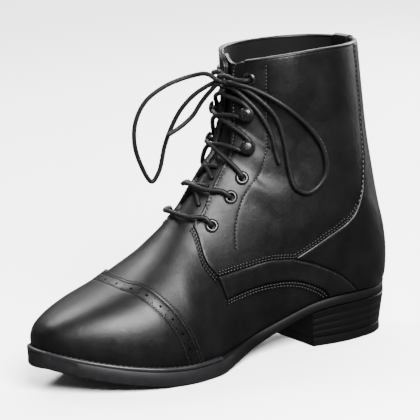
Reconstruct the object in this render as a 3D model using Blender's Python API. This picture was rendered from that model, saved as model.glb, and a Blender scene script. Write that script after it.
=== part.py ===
"""A right paddock boot: an ankle boot with a punched toe cap, open laced quarters and a low stacked heel.

Metres, +Z up. The toe points to -Y, the inner side of the foot to +X, and the origin is the middle of the
heel's floor face. "Along" runs from the back of the upper at its lower edge, 0, to its toe, 1, as a share of
the last's length. "Across" is a share of the ball's width, and "up" a share of the upper's height.
"""

import math

import bmesh
import bpy
import numpy as np
from mathutils import Matrix, Vector
from mathutils.bvhtree import BVHTree

# Driving sizes of the last
LAST_LENGTH = 0.258
BALL_WIDTH = 0.088
UPPER_HEIGHT = 0.167

# Sole and heel
HEEL_HEIGHT = 0.027
HEEL_LENGTH = 0.064
TOP_PIECE = 0.006
TOE_SPRING = 0.018
SOLE_HEEL = 0.0068
SOLE_FORE = 0.0100
WELT_THICKNESS = 0.0022
WELT_LEDGE = 0.0050
WAIST_LEDGE = 0.0010
HEEL_LEDGE = 0.0020
INSOLE_THICKNESS = 0.0025
INSOLE_PLAY = 0.0013
HEEL_TAPER = 0.0035
SOLE_EDGE = 0.0012
WELT_EDGE = 0.0006
RIB_DEPTH = 0.0005

# Leather
WALL = 0.0016
PANEL = 0.0013
STRIP = 0.0017
TONGUE_THICKNESS = 0.0020
TONGUE_WIDTH = 0.056
TONGUE_PLAY = 0.0010
GAP = 0.0003

# Lacing
LACE = 0.0031
EYELET_BORE = 0.0022
EYELET_BARREL = 0.0027
EYELET_RADIUS = 0.0046
EYELET_HEIGHT = 0.0012
HOOK_RADIUS = 0.0045
HOOK_BASE = 0.0008
HOOK_NECK = 0.0016
HOOK_DOME = 0.0024
KNOT_RADIUS = 0.0048
KNOT_ROW = 18.3
LOOP_SIZE = 0.050

# A lace's points lie no further apart than this, and turn no more than this, in radians, from one to the next
LACE_STEP = 0.0120
LACE_TURN = 0.8

# Where the sole touches the floor, as shares of the last's length
BALL_BACK = 0.56
BALL_FRONT = 0.66
SEAT_FRONT = 0.13

# Where the welt ends on each side, as a share of the last's length
WELT_BACK = 0.60

# The lower edge of the upper, seen from above
OUTLINE = [
    # along, middle across, half across
    (0.00, 0.000, 0.000),
    (0.03, 0.000, 0.210),
    (0.09, 0.000, 0.307),
    (0.18, 0.000, 0.341),
    (0.30, -0.020, 0.327),
    (0.42, -0.045, 0.330),
    (0.52, -0.034, 0.393),
    (0.60, -0.008, 0.460),
    (0.67, 0.000, 0.489),
    (0.74, -0.009, 0.486),
    (0.81, -0.020, 0.446),
    (0.88, -0.023, 0.364),
    (0.95, -0.028, 0.233),
    (1.00, -0.030, 0.000),
]

# Sections from the toe to the collar. Each is a plane from a low point, on the lower edge or up the back
# seam, to a top point on the ridge of vamp, instep and shaft.
SECTIONS = [
    # low along, low up, top along, rise, half wide, widest at, crown, base, ridge across
    (1.000, 0.000, 1.000, 0.000, 0.000, 0.25, 2.4, 2.0, -0.030),
    (0.994, 0.000, 0.997, 0.056, 0.098, 0.25, 2.4, 2.0, -0.030),
    (0.977, 0.000, 0.982, 0.097, 0.185, 0.25, 2.5, 2.0, -0.028),
    (0.942, 0.000, 0.945, 0.151, 0.280, 0.24, 2.5, 2.0, -0.025),
    (0.884, 0.000, 0.882, 0.218, 0.385, 0.22, 2.5, 2.0, -0.020),
    (0.814, 0.000, 0.802, 0.290, 0.468, 0.21, 2.3, 2.0, -0.010),
    (0.736, 0.000, 0.730, 0.374, 0.508, 0.21, 2.1, 2.0, 0.000),
    (0.659, 0.000, 0.671, 0.445, 0.505, 0.21, 1.9, 2.0, 0.010),
    (0.581, 0.000, 0.620, 0.513, 0.460, 0.22, 1.8, 2.0, 0.015),
    (0.496, 0.000, 0.572, 0.572, 0.408, 0.25, 1.75, 2.0, 0.018),
    (0.388, 0.000, 0.531, 0.602, 0.375, 0.35, 1.8, 2.0, 0.016),
    (0.264, 0.000, 0.498, 0.597, 0.375, 0.42, 1.85, 2.0, 0.012),
    (0.147, 0.000, 0.470, 0.620, 0.392, 0.45, 1.9, 2.1, 0.006),
    (0.054, 0.000, 0.452, 0.685, 0.398, 0.45, 2.0, 2.2, 0.000),
    (0.000, 0.000, 0.440, 0.740, 0.402, 0.45, 2.0, 2.2, 0.000),
    (-0.010, 0.085, 0.434, 0.692, 0.405, 0.46, 2.0, 2.2, 0.000),
    (-0.004, 0.190, 0.429, 0.624, 0.408, 0.46, 2.0, 2.2, 0.000),
    (0.014, 0.320, 0.425, 0.531, 0.412, 0.47, 2.0, 2.2, 0.000),
    (0.030, 0.460, 0.422, 0.428, 0.418, 0.47, 2.1, 2.2, 0.000),
    (0.046, 0.626, 0.420, 0.299, 0.424, 0.48, 2.1, 2.2, 0.000),
    (0.057, 0.815, 0.418, 0.148, 0.430, 0.48, 2.1, 2.2, 0.000),
    (0.066, 1.000, 0.417, 0.000, 0.432, 0.48, 2.1, 2.2, 0.000),
]
BACK_ROW = 14
COLLAR_ROW = len(SECTIONS) - 1
FORM_STEPS = [(0, 3, 5), (3, 8, 6), (8, 12, 7), (12, 14, 4), (14, 21, 6)]
FORM_COLUMNS = 16

# Seams seen from the side: along, and up as a share of the upper's height over the heel seat
CAP_EDGE = [(0.776, 0.400), (0.774, 0.195), (0.749, 0.187), (0.723, 0.146), (0.673, 0.031), (0.617, -0.200)]
QUARTER_FRONT = [(0.640, 0.440), (0.589, 0.372), (0.583, 0.235), (0.558, 0.171), (0.540, 0.080)]
STRIP_TOP = [(0.558, 0.171), (0.475, 0.184), (0.407, 0.197), (0.331, 0.187)]
STRIP_TAIL = [(0.331, 0.187), (0.269, 0.151), (0.185, 0.078), (0.120, -0.020)]
STRIP_LOW = [(0.540, 0.080), (0.468, 0.097), (0.402, 0.105), (0.347, 0.101), (0.296, 0.080), (0.238, 0.030),
             (0.215, -0.020)]
COUNTER_TOP = [(0.331, 0.187), (0.242, 0.248), (0.175, 0.295), (0.146, 0.331), (0.118, 0.420), (0.108, 0.520),
               (0.108, 0.720), (0.124, 1.100)]

# The opening's edge round from the ridge, as shares of the upper's height
THROAT = [
    # row, half width
    (8.9, 0.112),
    (9.8, 0.095),
    (10.9, 0.0775),
    (12.6, 0.064),
    (14.8, 0.040),
    (17.0, 0.029),
    (21.0, 0.027),
]
THROAT_FOOT = 9.0
TONGUE_FOOT = 8.2
TONGUE_TOP = 20.7

SIDES = [(1, "medial"), (-1, "lateral")]

# The heel block's side, from bottom to top
HEEL_LAYERS = [
    # share of its height, groove
    (0.00, 0), (0.19, 0), (0.22, 1), (0.25, 0), (0.44, 0), (0.47, 1), (0.50, 0), (0.71, 0), (0.74, 1), (0.77, 0),
    (1.00, 0),
]

# The bow's inner loop and end lie on the leather: row, share round from the ridge, lift
NEAR_LOOP = [
    (18.43, 0.0350, 0.0058), (18.33, 0.060, 0.0031), (18.35, 0.138, 0.0), (18.10, 0.261, 0.0), (17.60, 0.391, 0.0),
    (16.90, 0.464, 0.0), (15.60, 0.500, 0.0), (14.20, 0.471, 0.0), (13.30, 0.433, 0.0), (13.10, 0.377, 0.0),
    (13.60, 0.335, 0.0), (15.40, 0.288, 0.0), (16.90, 0.237, 0.0), (17.60, 0.173, 0.0), (17.92, 0.098, 0.0),
    (18.04, 0.0410, 0.0030),
]
NEAR_END = [
    (17.74, 0.026, 0.0010), (17.56, 0.046, 0.0004), (17.22, 0.092, 0.0), (16.50, 0.162, 0.0), (15.40, 0.222, 0.0),
    (14.20, 0.260, 0.0), (13.50, 0.286, 0.0),
]
# Its outer loop and end stand off in the air: across, toward the toe and up from the knot, in loop sizes
FAR_LOOP = [
    (-0.066, 0.060, 0.060), (-0.16, 0.12, 0.075), (-0.32, 0.25, 0.05), (-0.48, 0.56, -0.06), (-0.60, 0.81, -0.25),
    (-0.66, 0.94, -0.50), (-0.68, 0.97, -0.77), (-0.68, 0.91, -1.05), (-0.67, 0.75, -1.34), (-0.63, 0.66, -1.22),
    (-0.58, 0.57, -0.86), (-0.52, 0.50, -0.64), (-0.42, 0.38, -0.38), (-0.28, 0.21, -0.17),
    (-0.090, 0.058, -0.034),
]
FAR_END = [
    (-0.014, 0.066, -0.074), (-0.10, 0.12, -0.15), (-0.20, 0.20, -0.29), (-0.28, 0.30, -0.47), (-0.34, 0.45, -0.60),
    (-0.40, 0.62, -0.70),
]

# Where the lace is held, on each side
HOLDERS = [
    # row, round from the ridge as a share of the upper's height, kind
    (9.25, 0.178, "eyelet"),
    (10.50, 0.172, "eyelet"),
    (11.50, 0.163, "eyelet"),
    (13.10, 0.138, "hook"),
    (15.70, 0.112, "hook"),
    (19.10, 0.114, "eyelet"),
]

FINISHES = [
    # start of a piece's name, colour, roughness, metallic
    ("upper", (0.010, 0.010, 0.011), 0.42, 0.0),
    ("toe_cap", (0.012, 0.012, 0.013), 0.34, 0.0),
    ("quarter", (0.011, 0.011, 0.012), 0.40, 0.0),
    ("side_strip", (0.011, 0.011, 0.012), 0.40, 0.0),
    ("heel_counter", (0.011, 0.011, 0.012), 0.38, 0.0),
    ("tongue", (0.010, 0.010, 0.010), 0.50, 0.0),
    ("insole", (0.030, 0.029, 0.028), 0.70, 0.0),
    ("welt", (0.022, 0.022, 0.023), 0.55, 0.0),
    ("outsole", (0.040, 0.040, 0.042), 0.62, 0.0),
    ("heel", (0.030, 0.030, 0.031), 0.55, 0.0),
    ("heel_top_piece", (0.040, 0.040, 0.042), 0.70, 0.0),
    ("eyelet", (0.030, 0.030, 0.032), 0.30, 1.0),
    ("hook", (0.030, 0.030, 0.032), 0.28, 1.0),
    ("lace", (0.009, 0.009, 0.010), 0.60, 0.0),
]


def steady_slopes(xs, ys):
    """Slopes at the points of a table that never overshoot it."""
    secants = np.diff(ys) / np.diff(xs)
    slopes = np.zeros(len(ys))
    before, after = secants[:-1], secants[1:]
    same = before * after > 0
    slopes[1:-1][same] = 2 * before[same] * after[same] / (before[same] + after[same])
    slopes[0], slopes[-1] = secants[0], secants[-1]
    return slopes


def smooth(xs, ys, x):
    """A smooth curve through the points (xs, ys), read at x."""
    xs, ys = np.asarray(xs, float), np.asarray(ys, float)
    slopes = steady_slopes(xs, ys)
    x = np.clip(x, xs[0], xs[-1])
    i = np.clip(np.searchsorted(xs, x) - 1, 0, len(xs) - 2)
    span = xs[i + 1] - xs[i]
    t = (x - xs[i]) / span
    ends = (2 * t**3 - 3 * t**2 + 1) * ys[i] + (3 * t**2 - 2 * t**3) * ys[i + 1]
    return ends + span * ((t**3 - 2 * t**2 + t) * slopes[i] + (t**3 - t**2) * slopes[i + 1])


def turn_of(along):
    """A share of the length as an angle, so that a table read at it has round ends."""
    return np.arccos(1 - 2 * np.clip(along, 0, 1))


def outline_at(along):
    """Middle and half width of the upper's lower edge, in metres."""
    turns = turn_of(np.array([row[0] for row in OUTLINE]))
    middle = smooth(turns, [row[1] for row in OUTLINE], turn_of(along))
    half = smooth(turns, [row[2] for row in OUTLINE], turn_of(along))
    return middle * BALL_WIDTH, half * BALL_WIDTH


def ease(x):
    x = np.clip(x, 0, 1)
    return x * x * (3 - 2 * x)


def tread(along):
    """Height of the sole's underside: flat at the ball, up the arch to the heel, up a little to the toe."""
    arch = HEEL_HEIGHT * ease((BALL_BACK - along) / (BALL_BACK - SEAT_FRONT))
    toe = TOE_SPRING * np.clip((along - BALL_FRONT) / (1 - BALL_FRONT), 0, 1) ** 1.7
    return arch + toe


def feather(along):
    """Height of the upper's lower edge."""
    along = np.clip(along, 0, 1)
    return tread(along) + SOLE_HEEL + (SOLE_FORE - SOLE_HEEL) * ease((along - 0.30) / 0.28) + GAP


def place(across, along, up):
    """World coordinates of a point across and up in metres, and along as a share of the length."""
    return np.stack(np.broadcast_arrays(across, HEEL_LENGTH / 2 - along * LAST_LENGTH, up), -1)


def section_at(row):
    """What the table says at a row, in metres: low and top points in (along, up), and the shape between."""
    rows = np.arange(len(SECTIONS))
    columns = [smooth(rows, column, row) for column in zip(*SECTIONS)]
    low_along, low_up, top_along, rise, wide, at, crown, base, ridge = (float(c) for c in columns)
    if row < BACK_ROW:
        turns = turn_of(np.array([section[0] for section in SECTIONS[: BACK_ROW + 1]]))
        low_along = float((1 - np.cos(smooth(rows[: BACK_ROW + 1], turns, row))) / 2)
    low = (low_along, float(feather(low_along)) + low_up * UPPER_HEIGHT)
    top = (top_along, low[1] + rise * UPPER_HEIGHT)
    middle, foot = (float(x) for x in outline_at(low_along)) if row < BACK_ROW else (0.0, 0.0)
    wide = max(wide * BALL_WIDTH, foot * 1.01)
    return low, top, (wide, at, crown, base, ridge * BALL_WIDTH, middle, foot)


def half_arc(row):
    """The medial half of a section from ridge to edge: shares of the chord, half widths and arc lengths."""
    low, top, (wide, at, crown, base, _, _, foot) = section_at(row)
    turn = np.linspace(0, math.pi / 2, 60)
    upper = at + (1 - at) * np.cos(turn) ** (2 / crown), wide * np.sin(turn) ** (2 / crown)
    turn = turn[::-1][1:]
    lower = at - at * np.cos(turn) ** (2 / base), foot + (wide - foot) * np.sin(turn) ** (2 / base)
    chord = math.hypot((top[0] - low[0]) * LAST_LENGTH, top[1] - low[1])
    share = np.concatenate([upper[0], lower[0]])
    half = np.concatenate([upper[1], lower[1]])
    steps = np.hypot(np.diff(share) * chord, np.diff(half))
    return share, half, np.concatenate([[0], np.cumsum(steps)])


def section_points(row, across):
    """World points of a section. 'across' is 0 at the ridge, 1 at the medial edge and -1 at the lateral.
    Rows past the collar carry it straight up."""
    across = np.asarray(across, float)
    past = max(row - COLLAR_ROW, 0.0) * (SECTIONS[-1][1] - SECTIONS[-2][1]) * UPPER_HEIGHT
    row = min(row, COLLAR_ROW)
    low, top, (_, _, _, _, ridge, middle, _) = section_at(row)
    share, half, arc = half_arc(row)
    at = np.abs(across) * arc[-1]
    t, w = np.interp(at, arc, share), np.interp(at, arc, half)
    x = middle + (ridge - middle) * t + np.sign(across) * w
    return place(x, low[0] + t * (top[0] - low[0]), low[1] + t * (top[1] - low[1]) + past)


def surface(row, distance, side, lift=0.0):
    """A point on the upper, 'distance' metres round from the ridge, lifted off it, and the normal there."""

    def at(r, d):
        return section_points(r, [side * d / half_arc(min(r, COLLAR_ROW))[2][-1]])[0]

    step = 1e-3
    row_step = 0.05
    along = at(row + row_step, distance) - at(row - row_step, distance)
    round_it = at(row, distance + step) - at(row, distance - step)
    normal = np.cross(round_it, along) * side
    normal /= np.linalg.norm(normal)
    return at(row, distance) + lift * normal, normal


def new_object(name, points, faces, collection):
    """A mesh object with its doubles merged and its faces turned outwards."""
    mesh = bpy.data.meshes.new(name)
    mesh.from_pydata([tuple(p) for p in points], [], [tuple(f) for f in faces])
    tidy = bmesh.new()
    tidy.from_mesh(mesh)
    bmesh.ops.remove_doubles(tidy, verts=tidy.verts, dist=1e-6)
    bmesh.ops.recalc_face_normals(tidy, faces=tidy.faces)
    tidy.to_mesh(mesh)
    tidy.free()
    obj = bpy.data.objects.new(name, mesh)
    collection.objects.link(obj)
    return obj


def form_rows():
    """The rows at which the upper's form is drawn."""
    return np.unique(np.concatenate([np.linspace(a, b, n + 1) for a, b, n in FORM_STEPS]))


def upper_form():
    """The upper's outer surface: its points, their normals, its triangles, its open rims, and which points
    are on the lower edge."""
    across = np.linspace(-1, 1, FORM_COLUMNS + 1)
    rows = form_rows()
    grid = np.array([section_points(row, across) for row in rows])
    count = len(across)
    quads = [
        (i * count + j, i * count + j + 1, (i + 1) * count + j + 1, (i + 1) * count + j)
        for i in range(len(grid) - 1)
        for j in range(count - 1)
    ]
    shape = bmesh.new()
    corners = [shape.verts.new(p) for p in grid.reshape(-1, 3)]
    for quad in quads:
        shape.faces.new([corners[k] for k in quad])
    bmesh.ops.remove_doubles(shape, verts=shape.verts, dist=1e-6)
    bmesh.ops.dissolve_degenerate(shape, edges=shape.edges, dist=1e-7)
    bmesh.ops.recalc_face_normals(shape, faces=shape.faces)
    bmesh.ops.triangulate(shape, faces=shape.faces, quad_method="SHORT_EDGE")
    shape.verts.index_update()
    shape.normal_update()
    if sum(v.normal.dot(v.co - Vector((0, 0, v.co.z))) for v in shape.verts if v.co.z > 0.12) < 0:
        bmesh.ops.reverse_faces(shape, faces=shape.faces)
        shape.normal_update()
    normals = []
    for v in shape.verts:
        normal = v.normal.copy()
        if v.is_boundary:
            normal.z = 0
        normals.append(normal.normalized())
    faces = [[v.index for v in f.verts] for f in shape.faces]
    rims = [(e.verts[0].index, e.verts[1].index) for e in shape.edges if e.is_boundary]
    points = np.array([v.co for v in shape.verts])
    edge = np.array([v.is_boundary and v.co.z < UPPER_HEIGHT * 0.6 for v in shape.verts])
    shape.free()
    return points, np.array(normals), faces, rims, edge


def lifted(points, normals, edge, lift):
    """The form's points moved out by 'lift', with its lower edge kept on the sole."""
    moved = points + lift * normals
    along = (HEEL_LENGTH / 2 - moved[:, 1]) / LAST_LENGTH
    moved[edge, 2] = feather(along)[edge]
    return moved


def shell(name, low, high, collection):
    """A closed wall between two lifts of the upper's own surface."""
    points, normals, faces, rims, edge = upper_form()
    count = len(points)
    both = np.concatenate([lifted(points, normals, edge, low), lifted(points, normals, edge, high)])
    skin = [[i + count for i in f] for f in faces] + [f[::-1] for f in faces]
    skin += [(a, b, b + count, a + count) for a, b in rims]
    return new_object(name, both, skin, collection)


def outline_points(ledge, stations):
    """Both sides of the lower edge as (across, along) points in metres, 'ledge' outside it, heel to toe."""
    along = (1 - np.cos(np.linspace(0, math.pi, stations))) / 2
    middle, half = outline_at(along)
    loop_x = np.concatenate([middle + half, (middle - half)[-2:0:-1]])
    loop_a = np.concatenate([along, along[-2:0:-1]])
    dx = np.roll(loop_x, -1) - np.roll(loop_x, 1)
    dy = (np.roll(loop_a, -1) - np.roll(loop_a, 1)) * LAST_LENGTH
    size = np.hypot(dx, dy)
    out = ledge(loop_a)
    loop_x = loop_x + out * dy / size
    loop_a = loop_a - out * dx / size / LAST_LENGTH
    return loop_x, loop_a


def plate(name, rings, collection, stations=34):
    """A closed slab made of rings from bottom to top. A ring is a ledge and a height, each a function of
    along; the slab's faces cross from one side to the other at each station."""
    layers = []
    for ledge, height in rings:
        across, along = outline_points(ledge, stations)
        layers.append(place(across, along, height(along)))
    count = len(layers[0])
    points = np.concatenate(layers)
    faces = []
    for k in range(len(layers) - 1):
        for i in range(count):
            j = (i + 1) % count
            faces.append((k * count + i, k * count + j, (k + 1) * count + j, (k + 1) * count + i))
    for base in (0, (len(layers) - 1) * count):
        for i in range(stations - 1):
            left = [base + i, base + i + 1]
            right = [base + (count - i - 1) % count, base + (count - i) % count]
            corners = [left[0], left[1], right[0], right[1]]
            faces.append(tuple(dict.fromkeys(corners)))
    return new_object(name, points, faces, collection)


def level(height):
    """The same height or ledge all along."""
    return lambda along: np.full(np.shape(along), float(height))


def ledge(along):
    """How far the sole stands out from the upper."""
    fore = ease((along - 0.44) / 0.16)
    seat = ease((0.30 - along) / 0.14)
    return WAIST_LEDGE + (WELT_LEDGE - WAIST_LEDGE) * fore + (HEEL_LEDGE - WAIST_LEDGE) * seat


def sole_parts(boot, cutters):
    """Insole, welt, outsole, heel block and its top piece."""

    def top(along):
        return feather(along) - 2 * GAP

    def inside(along):
        return np.full(np.shape(along), -WALL - GAP - INSOLE_PLAY)

    plate("outsole", [(lambda a: ledge(a) - SOLE_EDGE, tread), (ledge, lambda a: tread(a) + SOLE_EDGE), (ledge, top)],
          boot, 40)
    plate("insole", [(inside, feather), (inside, lambda a: feather(a) + INSOLE_THICKNESS)], boot, 28)
    welt = plate("welt", [(ledge, feather), (ledge, lambda a: feather(a) + WELT_THICKNESS - WELT_EDGE),
                          (lambda a: ledge(a) - WELT_EDGE, lambda a: feather(a) + WELT_THICKNESS)], boot)
    modify(welt, "DIFFERENCE", filled("welt_inside", 3 * GAP + PANEL, cutters))
    ahead = side_prism("welt_front", [(WELT_BACK, -0.02), (1.2, -0.02), (1.2, 0.08), (WELT_BACK, 0.08)], 1,
                       -BALL_WIDTH, BALL_WIDTH, cutters)
    modify(welt, "INTERSECT", ahead)
    bottom = TOP_PIECE + GAP
    rings = []
    for share, groove in HEEL_LAYERS:
        rings.append((lambda a, f=share, g=groove: ledge(a) - HEEL_TAPER * (1 - f) - g * RIB_DEPTH,
                      lambda a, f=share: bottom + f * (tread(a) - GAP - bottom)))
    heel = plate("heel", rings, boot)
    foot = [(lambda a: ledge(a) - HEEL_TAPER - WELT_EDGE, level(0.0)),
            (lambda a: ledge(a) - HEEL_TAPER, level(WELT_EDGE)), (lambda a: ledge(a) - HEEL_TAPER, level(TOP_PIECE))]
    top_piece = plate("heel_top_piece", foot, boot)
    front = HEEL_LENGTH / LAST_LENGTH
    breast = [(-0.1, -0.01), (front - 0.004, -0.01), (front + 0.010, 0.04), (-0.1, 0.04)]
    keep = side_prism("heel_front", breast, 1, -BALL_WIDTH, BALL_WIDTH, cutters)
    modify(heel, "INTERSECT", keep)
    modify(top_piece, "INTERSECT", keep)


def side_prism(name, outline, side, near, far, collection):
    """A cutter: an outline in (along, up metres) carried across from 'near' to 'far' on one side."""
    count = len(outline)
    along, up = np.array(outline, float).T
    points = np.concatenate([place(side * near, along, up), place(side * far, along, up)])
    faces = [tuple(range(count)), tuple(range(2 * count - 1, count - 1, -1))]
    faces += [(i, (i + 1) % count, (i + 1) % count + count, i + count) for i in range(count)]
    return new_object(name, points, faces, collection)


def modify(obj, operation, cutter):
    """Cuts, joins or keeps the common part, at once, with the exact solver."""
    change = obj.modifiers.new(operation.lower(), "BOOLEAN")
    change.operation = operation
    change.object = cutter
    change.solver = "EXACT"
    graph = bpy.context.evaluated_depsgraph_get()
    made = bpy.data.meshes.new_from_object(obj.evaluated_get(graph))
    obj.modifiers.clear()
    obj.data = made


def band(name, start, end, half, low, high, collection, columns=6):
    """A closed strip along the ridge between two rows and two lifts. 'half' is its half width at a row."""
    rows = [row for row in form_rows() if start + 0.1 < row < end - 0.1]
    rows = [start] + rows + [end]
    steps = len(rows) - 1
    layers = []
    for lift in (low, high):
        for row in rows:
            for share in np.linspace(-1, 1, columns + 1):
                width = abs(share) * half(row)
                layers.append(surface(row, width, 1 if share >= 0 else -1, lift)[0])
    count = columns + 1
    layer = (steps + 1) * count
    faces = []
    for i in range(steps):
        for j in range(columns):
            a = i * count + j
            quad = (a, a + 1, a + 1 + count, a + count)
            faces.append(quad)
            faces.append(tuple(k + layer for k in quad[::-1]))
    rim = [(j, j + 1) for j in range(columns)]
    rim += [(steps * count + j + 1, steps * count + j) for j in range(columns)]
    rim += [((i + 1) * count, i * count) for i in range(steps)]
    rim += [(i * count + columns, (i + 1) * count + columns) for i in range(steps)]
    faces += [(a, b, b + layer, a + layer) for a, b in rim]
    return new_object(name, layers, faces, collection)


def side_view(table):
    """A seam's points as (along, up in metres) from a table of shares."""
    seat = HEEL_HEIGHT + SOLE_HEEL + GAP
    return [(along, seat + up * UPPER_HEIGHT) for along, up in table]


def inset(outline, amount):
    """A closed outline moved inwards by a small amount, so that neighbours keep a gap."""
    pts = np.array(outline, float) * [LAST_LENGTH, 1]
    area = np.sum(pts[:, 0] * np.roll(pts[:, 1], -1) - np.roll(pts[:, 0], -1) * pts[:, 1])
    before = pts - np.roll(pts, 1, 0)
    after = np.roll(pts, -1, 0) - pts
    before /= np.linalg.norm(before, axis=1)[:, None]
    after /= np.linalg.norm(after, axis=1)[:, None]
    bisector = before + after
    bisector /= np.linalg.norm(bisector, axis=1)[:, None]
    inward = np.stack([-bisector[:, 1], bisector[:, 0]], 1) * np.sign(area)
    cosine = np.abs(np.sum(bisector * after, 1))
    pts = pts + inward * (amount / np.maximum(cosine, 0.5))[:, None]
    return pts / [LAST_LENGTH, 1]


def panel(name, outline, side, thickness, boot, cutters, throat=None):
    """An overlay of the upper bounded by a side-view outline, on one side (1 or -1) or both (0)."""
    piece = shell(name, GAP, GAP + thickness, boot)
    if throat:
        modify(piece, "DIFFERENCE", throat)
    far = BALL_WIDTH
    near, far = (-far, far) if side == 0 else (0.0 + GAP, far)
    keep = side_prism(name + "_keep", inset(outline, GAP / 2), side or 1, near, far, cutters)
    modify(piece, "INTERSECT", keep)
    return piece


def revolve(name, profile, spot, sides, collection):
    """Turns a closed (radius, height) profile round the normal of a spot."""
    point, _, _, normal = spot
    shape = bmesh.new()
    ring = [shape.verts.new((max(r, 0.0), 0, h)) for r, h in profile]
    pairs = zip(ring, ring[1:] + ring[:1])
    loop = [shape.edges.new(pair) for pair in pairs if pair[0].co.x or pair[1].co.x]
    bmesh.ops.spin(shape, geom=ring + loop, cent=(0, 0, 0), axis=(0, 0, 1), angle=2 * math.pi, steps=sides)
    bmesh.ops.remove_doubles(shape, verts=shape.verts, dist=1e-6)
    bmesh.ops.dissolve_degenerate(shape, edges=shape.edges, dist=1e-7)
    bmesh.ops.recalc_face_normals(shape, faces=shape.faces)
    mesh = bpy.data.meshes.new(name)
    turn = Vector((0, 0, 1)).rotation_difference(Vector(normal)).to_matrix().to_4x4()
    shape.transform(Matrix.Translation(Vector(point)) @ turn)
    shape.to_mesh(mesh)
    shape.free()
    obj = bpy.data.objects.new(name, mesh)
    collection.objects.link(obj)
    return obj


def spot_at(row, share, side, lift=0.0):
    """A point of the upper with the directions away from the ridge, up the rows and out of the leather."""
    distance = share * UPPER_HEIGHT
    point, normal = surface(row, distance, side, lift)
    out = surface(row, distance + 1e-3, side, lift)[0] - point
    out /= np.linalg.norm(out)
    up = np.cross(normal, out)
    ahead = surface(row + 0.1, distance, side, lift)[0] - point
    up *= np.sign(np.dot(up, ahead))
    return point, out, up, normal


def off(spot, out, up, lift):
    """A point near a spot, moved away from the ridge, up the rows and out of the leather."""
    point, away, along, normal = spot
    return point + out * away + up * along + lift * normal


def smooth_path(points, spacing):
    """Points on a smooth curve through the given ones, closer where it bends."""
    pts = np.array(points, float)
    steps = np.concatenate([[0], np.cumsum(np.linalg.norm(np.diff(pts, axis=0), axis=1) ** 0.5)])
    fine = np.linspace(0, steps[-1], 600)
    ends = np.vstack([2 * pts[0] - pts[1], pts, 2 * pts[-1] - pts[-2]])
    knots = np.concatenate([[steps[0] * 2 - steps[1]], steps, [2 * steps[-1] - steps[-2]]])
    i = np.clip(np.searchsorted(steps, fine, side="right") - 1, 0, len(pts) - 2)
    t0, t1, t2, t3 = (knots[i + k] for k in range(4))
    p0, p1, p2, p3 = (ends[i + k] for k in range(4))

    def mix(a, b, ta, tb):
        share = ((fine - ta) / (tb - ta))[:, None]
        return a + (b - a) * share

    a1, a2, a3 = mix(p0, p1, t0, t1), mix(p1, p2, t1, t2), mix(p2, p3, t2, t3)
    b1, b2 = mix(a1, a2, t0, t2), mix(a2, a3, t1, t3)
    curve = mix(b1, b2, t1, t2)
    steps = np.diff(curve, axis=0)
    length = np.linalg.norm(steps, axis=1)
    heading = steps / np.maximum(length, 1e-9)[:, None]
    turning = np.concatenate([[0], np.arccos(np.clip(np.sum(heading[1:] * heading[:-1], 1), -1, 1))])
    used = np.concatenate([[0], np.cumsum(length / spacing + turning / LACE_TURN)])
    count = max(3, int(math.ceil(used[-1])) + 1)
    at = np.linspace(0, used[-1], count)
    return np.stack([np.interp(at, used, curve[:, k]) for k in range(3)], 1)


def tube(name, points, spacing, collection):
    """A length of lace: a round tube with closed ends along a smooth curve through the points."""
    path = smooth_path(points, spacing)
    curve = bpy.data.curves.new(name, "CURVE")
    curve.dimensions = "3D"
    spline = curve.splines.new("POLY")
    spline.points.add(len(path) - 1)
    for knot, p in zip(spline.points, path):
        knot.co = (*p, 1)
    curve.bevel_depth = LACE / 2
    curve.bevel_resolution = 2
    curve.use_fill_caps = True
    holder = bpy.data.objects.new(name + "_line", curve)
    bpy.context.scene.collection.objects.link(holder)
    graph = bpy.context.evaluated_depsgraph_get()
    mesh = bpy.data.meshes.new_from_object(holder.evaluated_get(graph))
    bpy.data.objects.remove(holder)
    weld = bmesh.new()
    weld.from_mesh(mesh)
    bmesh.ops.remove_doubles(weld, verts=weld.verts, dist=1e-5)
    bmesh.ops.recalc_face_normals(weld, faces=weld.faces)
    weld.to_mesh(mesh)
    weld.free()
    mesh.name = name
    obj = bpy.data.objects.new(name, mesh)
    collection.objects.link(obj)
    return obj


def make_upper(boot, cutters):
    """The vamp and shaft in one, open at the throat, and the overlays on it."""
    rows = [row for row, _ in THROAT]
    halves = [half * UPPER_HEIGHT for _, half in THROAT]
    throat = band("throat", THROAT_FOOT, COLLAR_ROW + 0.4, lambda row: float(smooth(rows, halves, row)),
                  -4 * WALL, 4 * PANEL, cutters)
    upper = shell("upper", -WALL, 0.0, boot)
    modify(upper, "DIFFERENCE", throat)
    cap = side_view(CAP_EDGE) + [(1.1, -0.01), (1.1, 0.15)]
    panel("toe_cap", cap, 0, PANEL, boot, cutters)
    quarters = {}
    for side, word in SIDES:
        edge = side_view(QUARTER_FRONT[:-1]) + side_view(STRIP_TOP)[1:] + side_view(COUNTER_TOP)[1:]
        edge += side_view([(0.64, 1.1)])
        quarters[side] = panel("quarter_" + word, edge, side, PANEL, boot, cutters, throat)
        strip = side_view(STRIP_TOP) + side_view(STRIP_TAIL)[1:] + side_view(STRIP_LOW)[::-1]
        panel("side_strip_" + word, strip, side, STRIP, boot, cutters)
    counter = side_view(COUNTER_TOP) + side_view([(-0.1, 1.1), (-0.1, -0.02)]) + side_view(STRIP_TAIL)[:0:-1]
    panel("heel_counter", counter, 0, STRIP, boot, cutters)
    return upper, quarters


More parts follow.
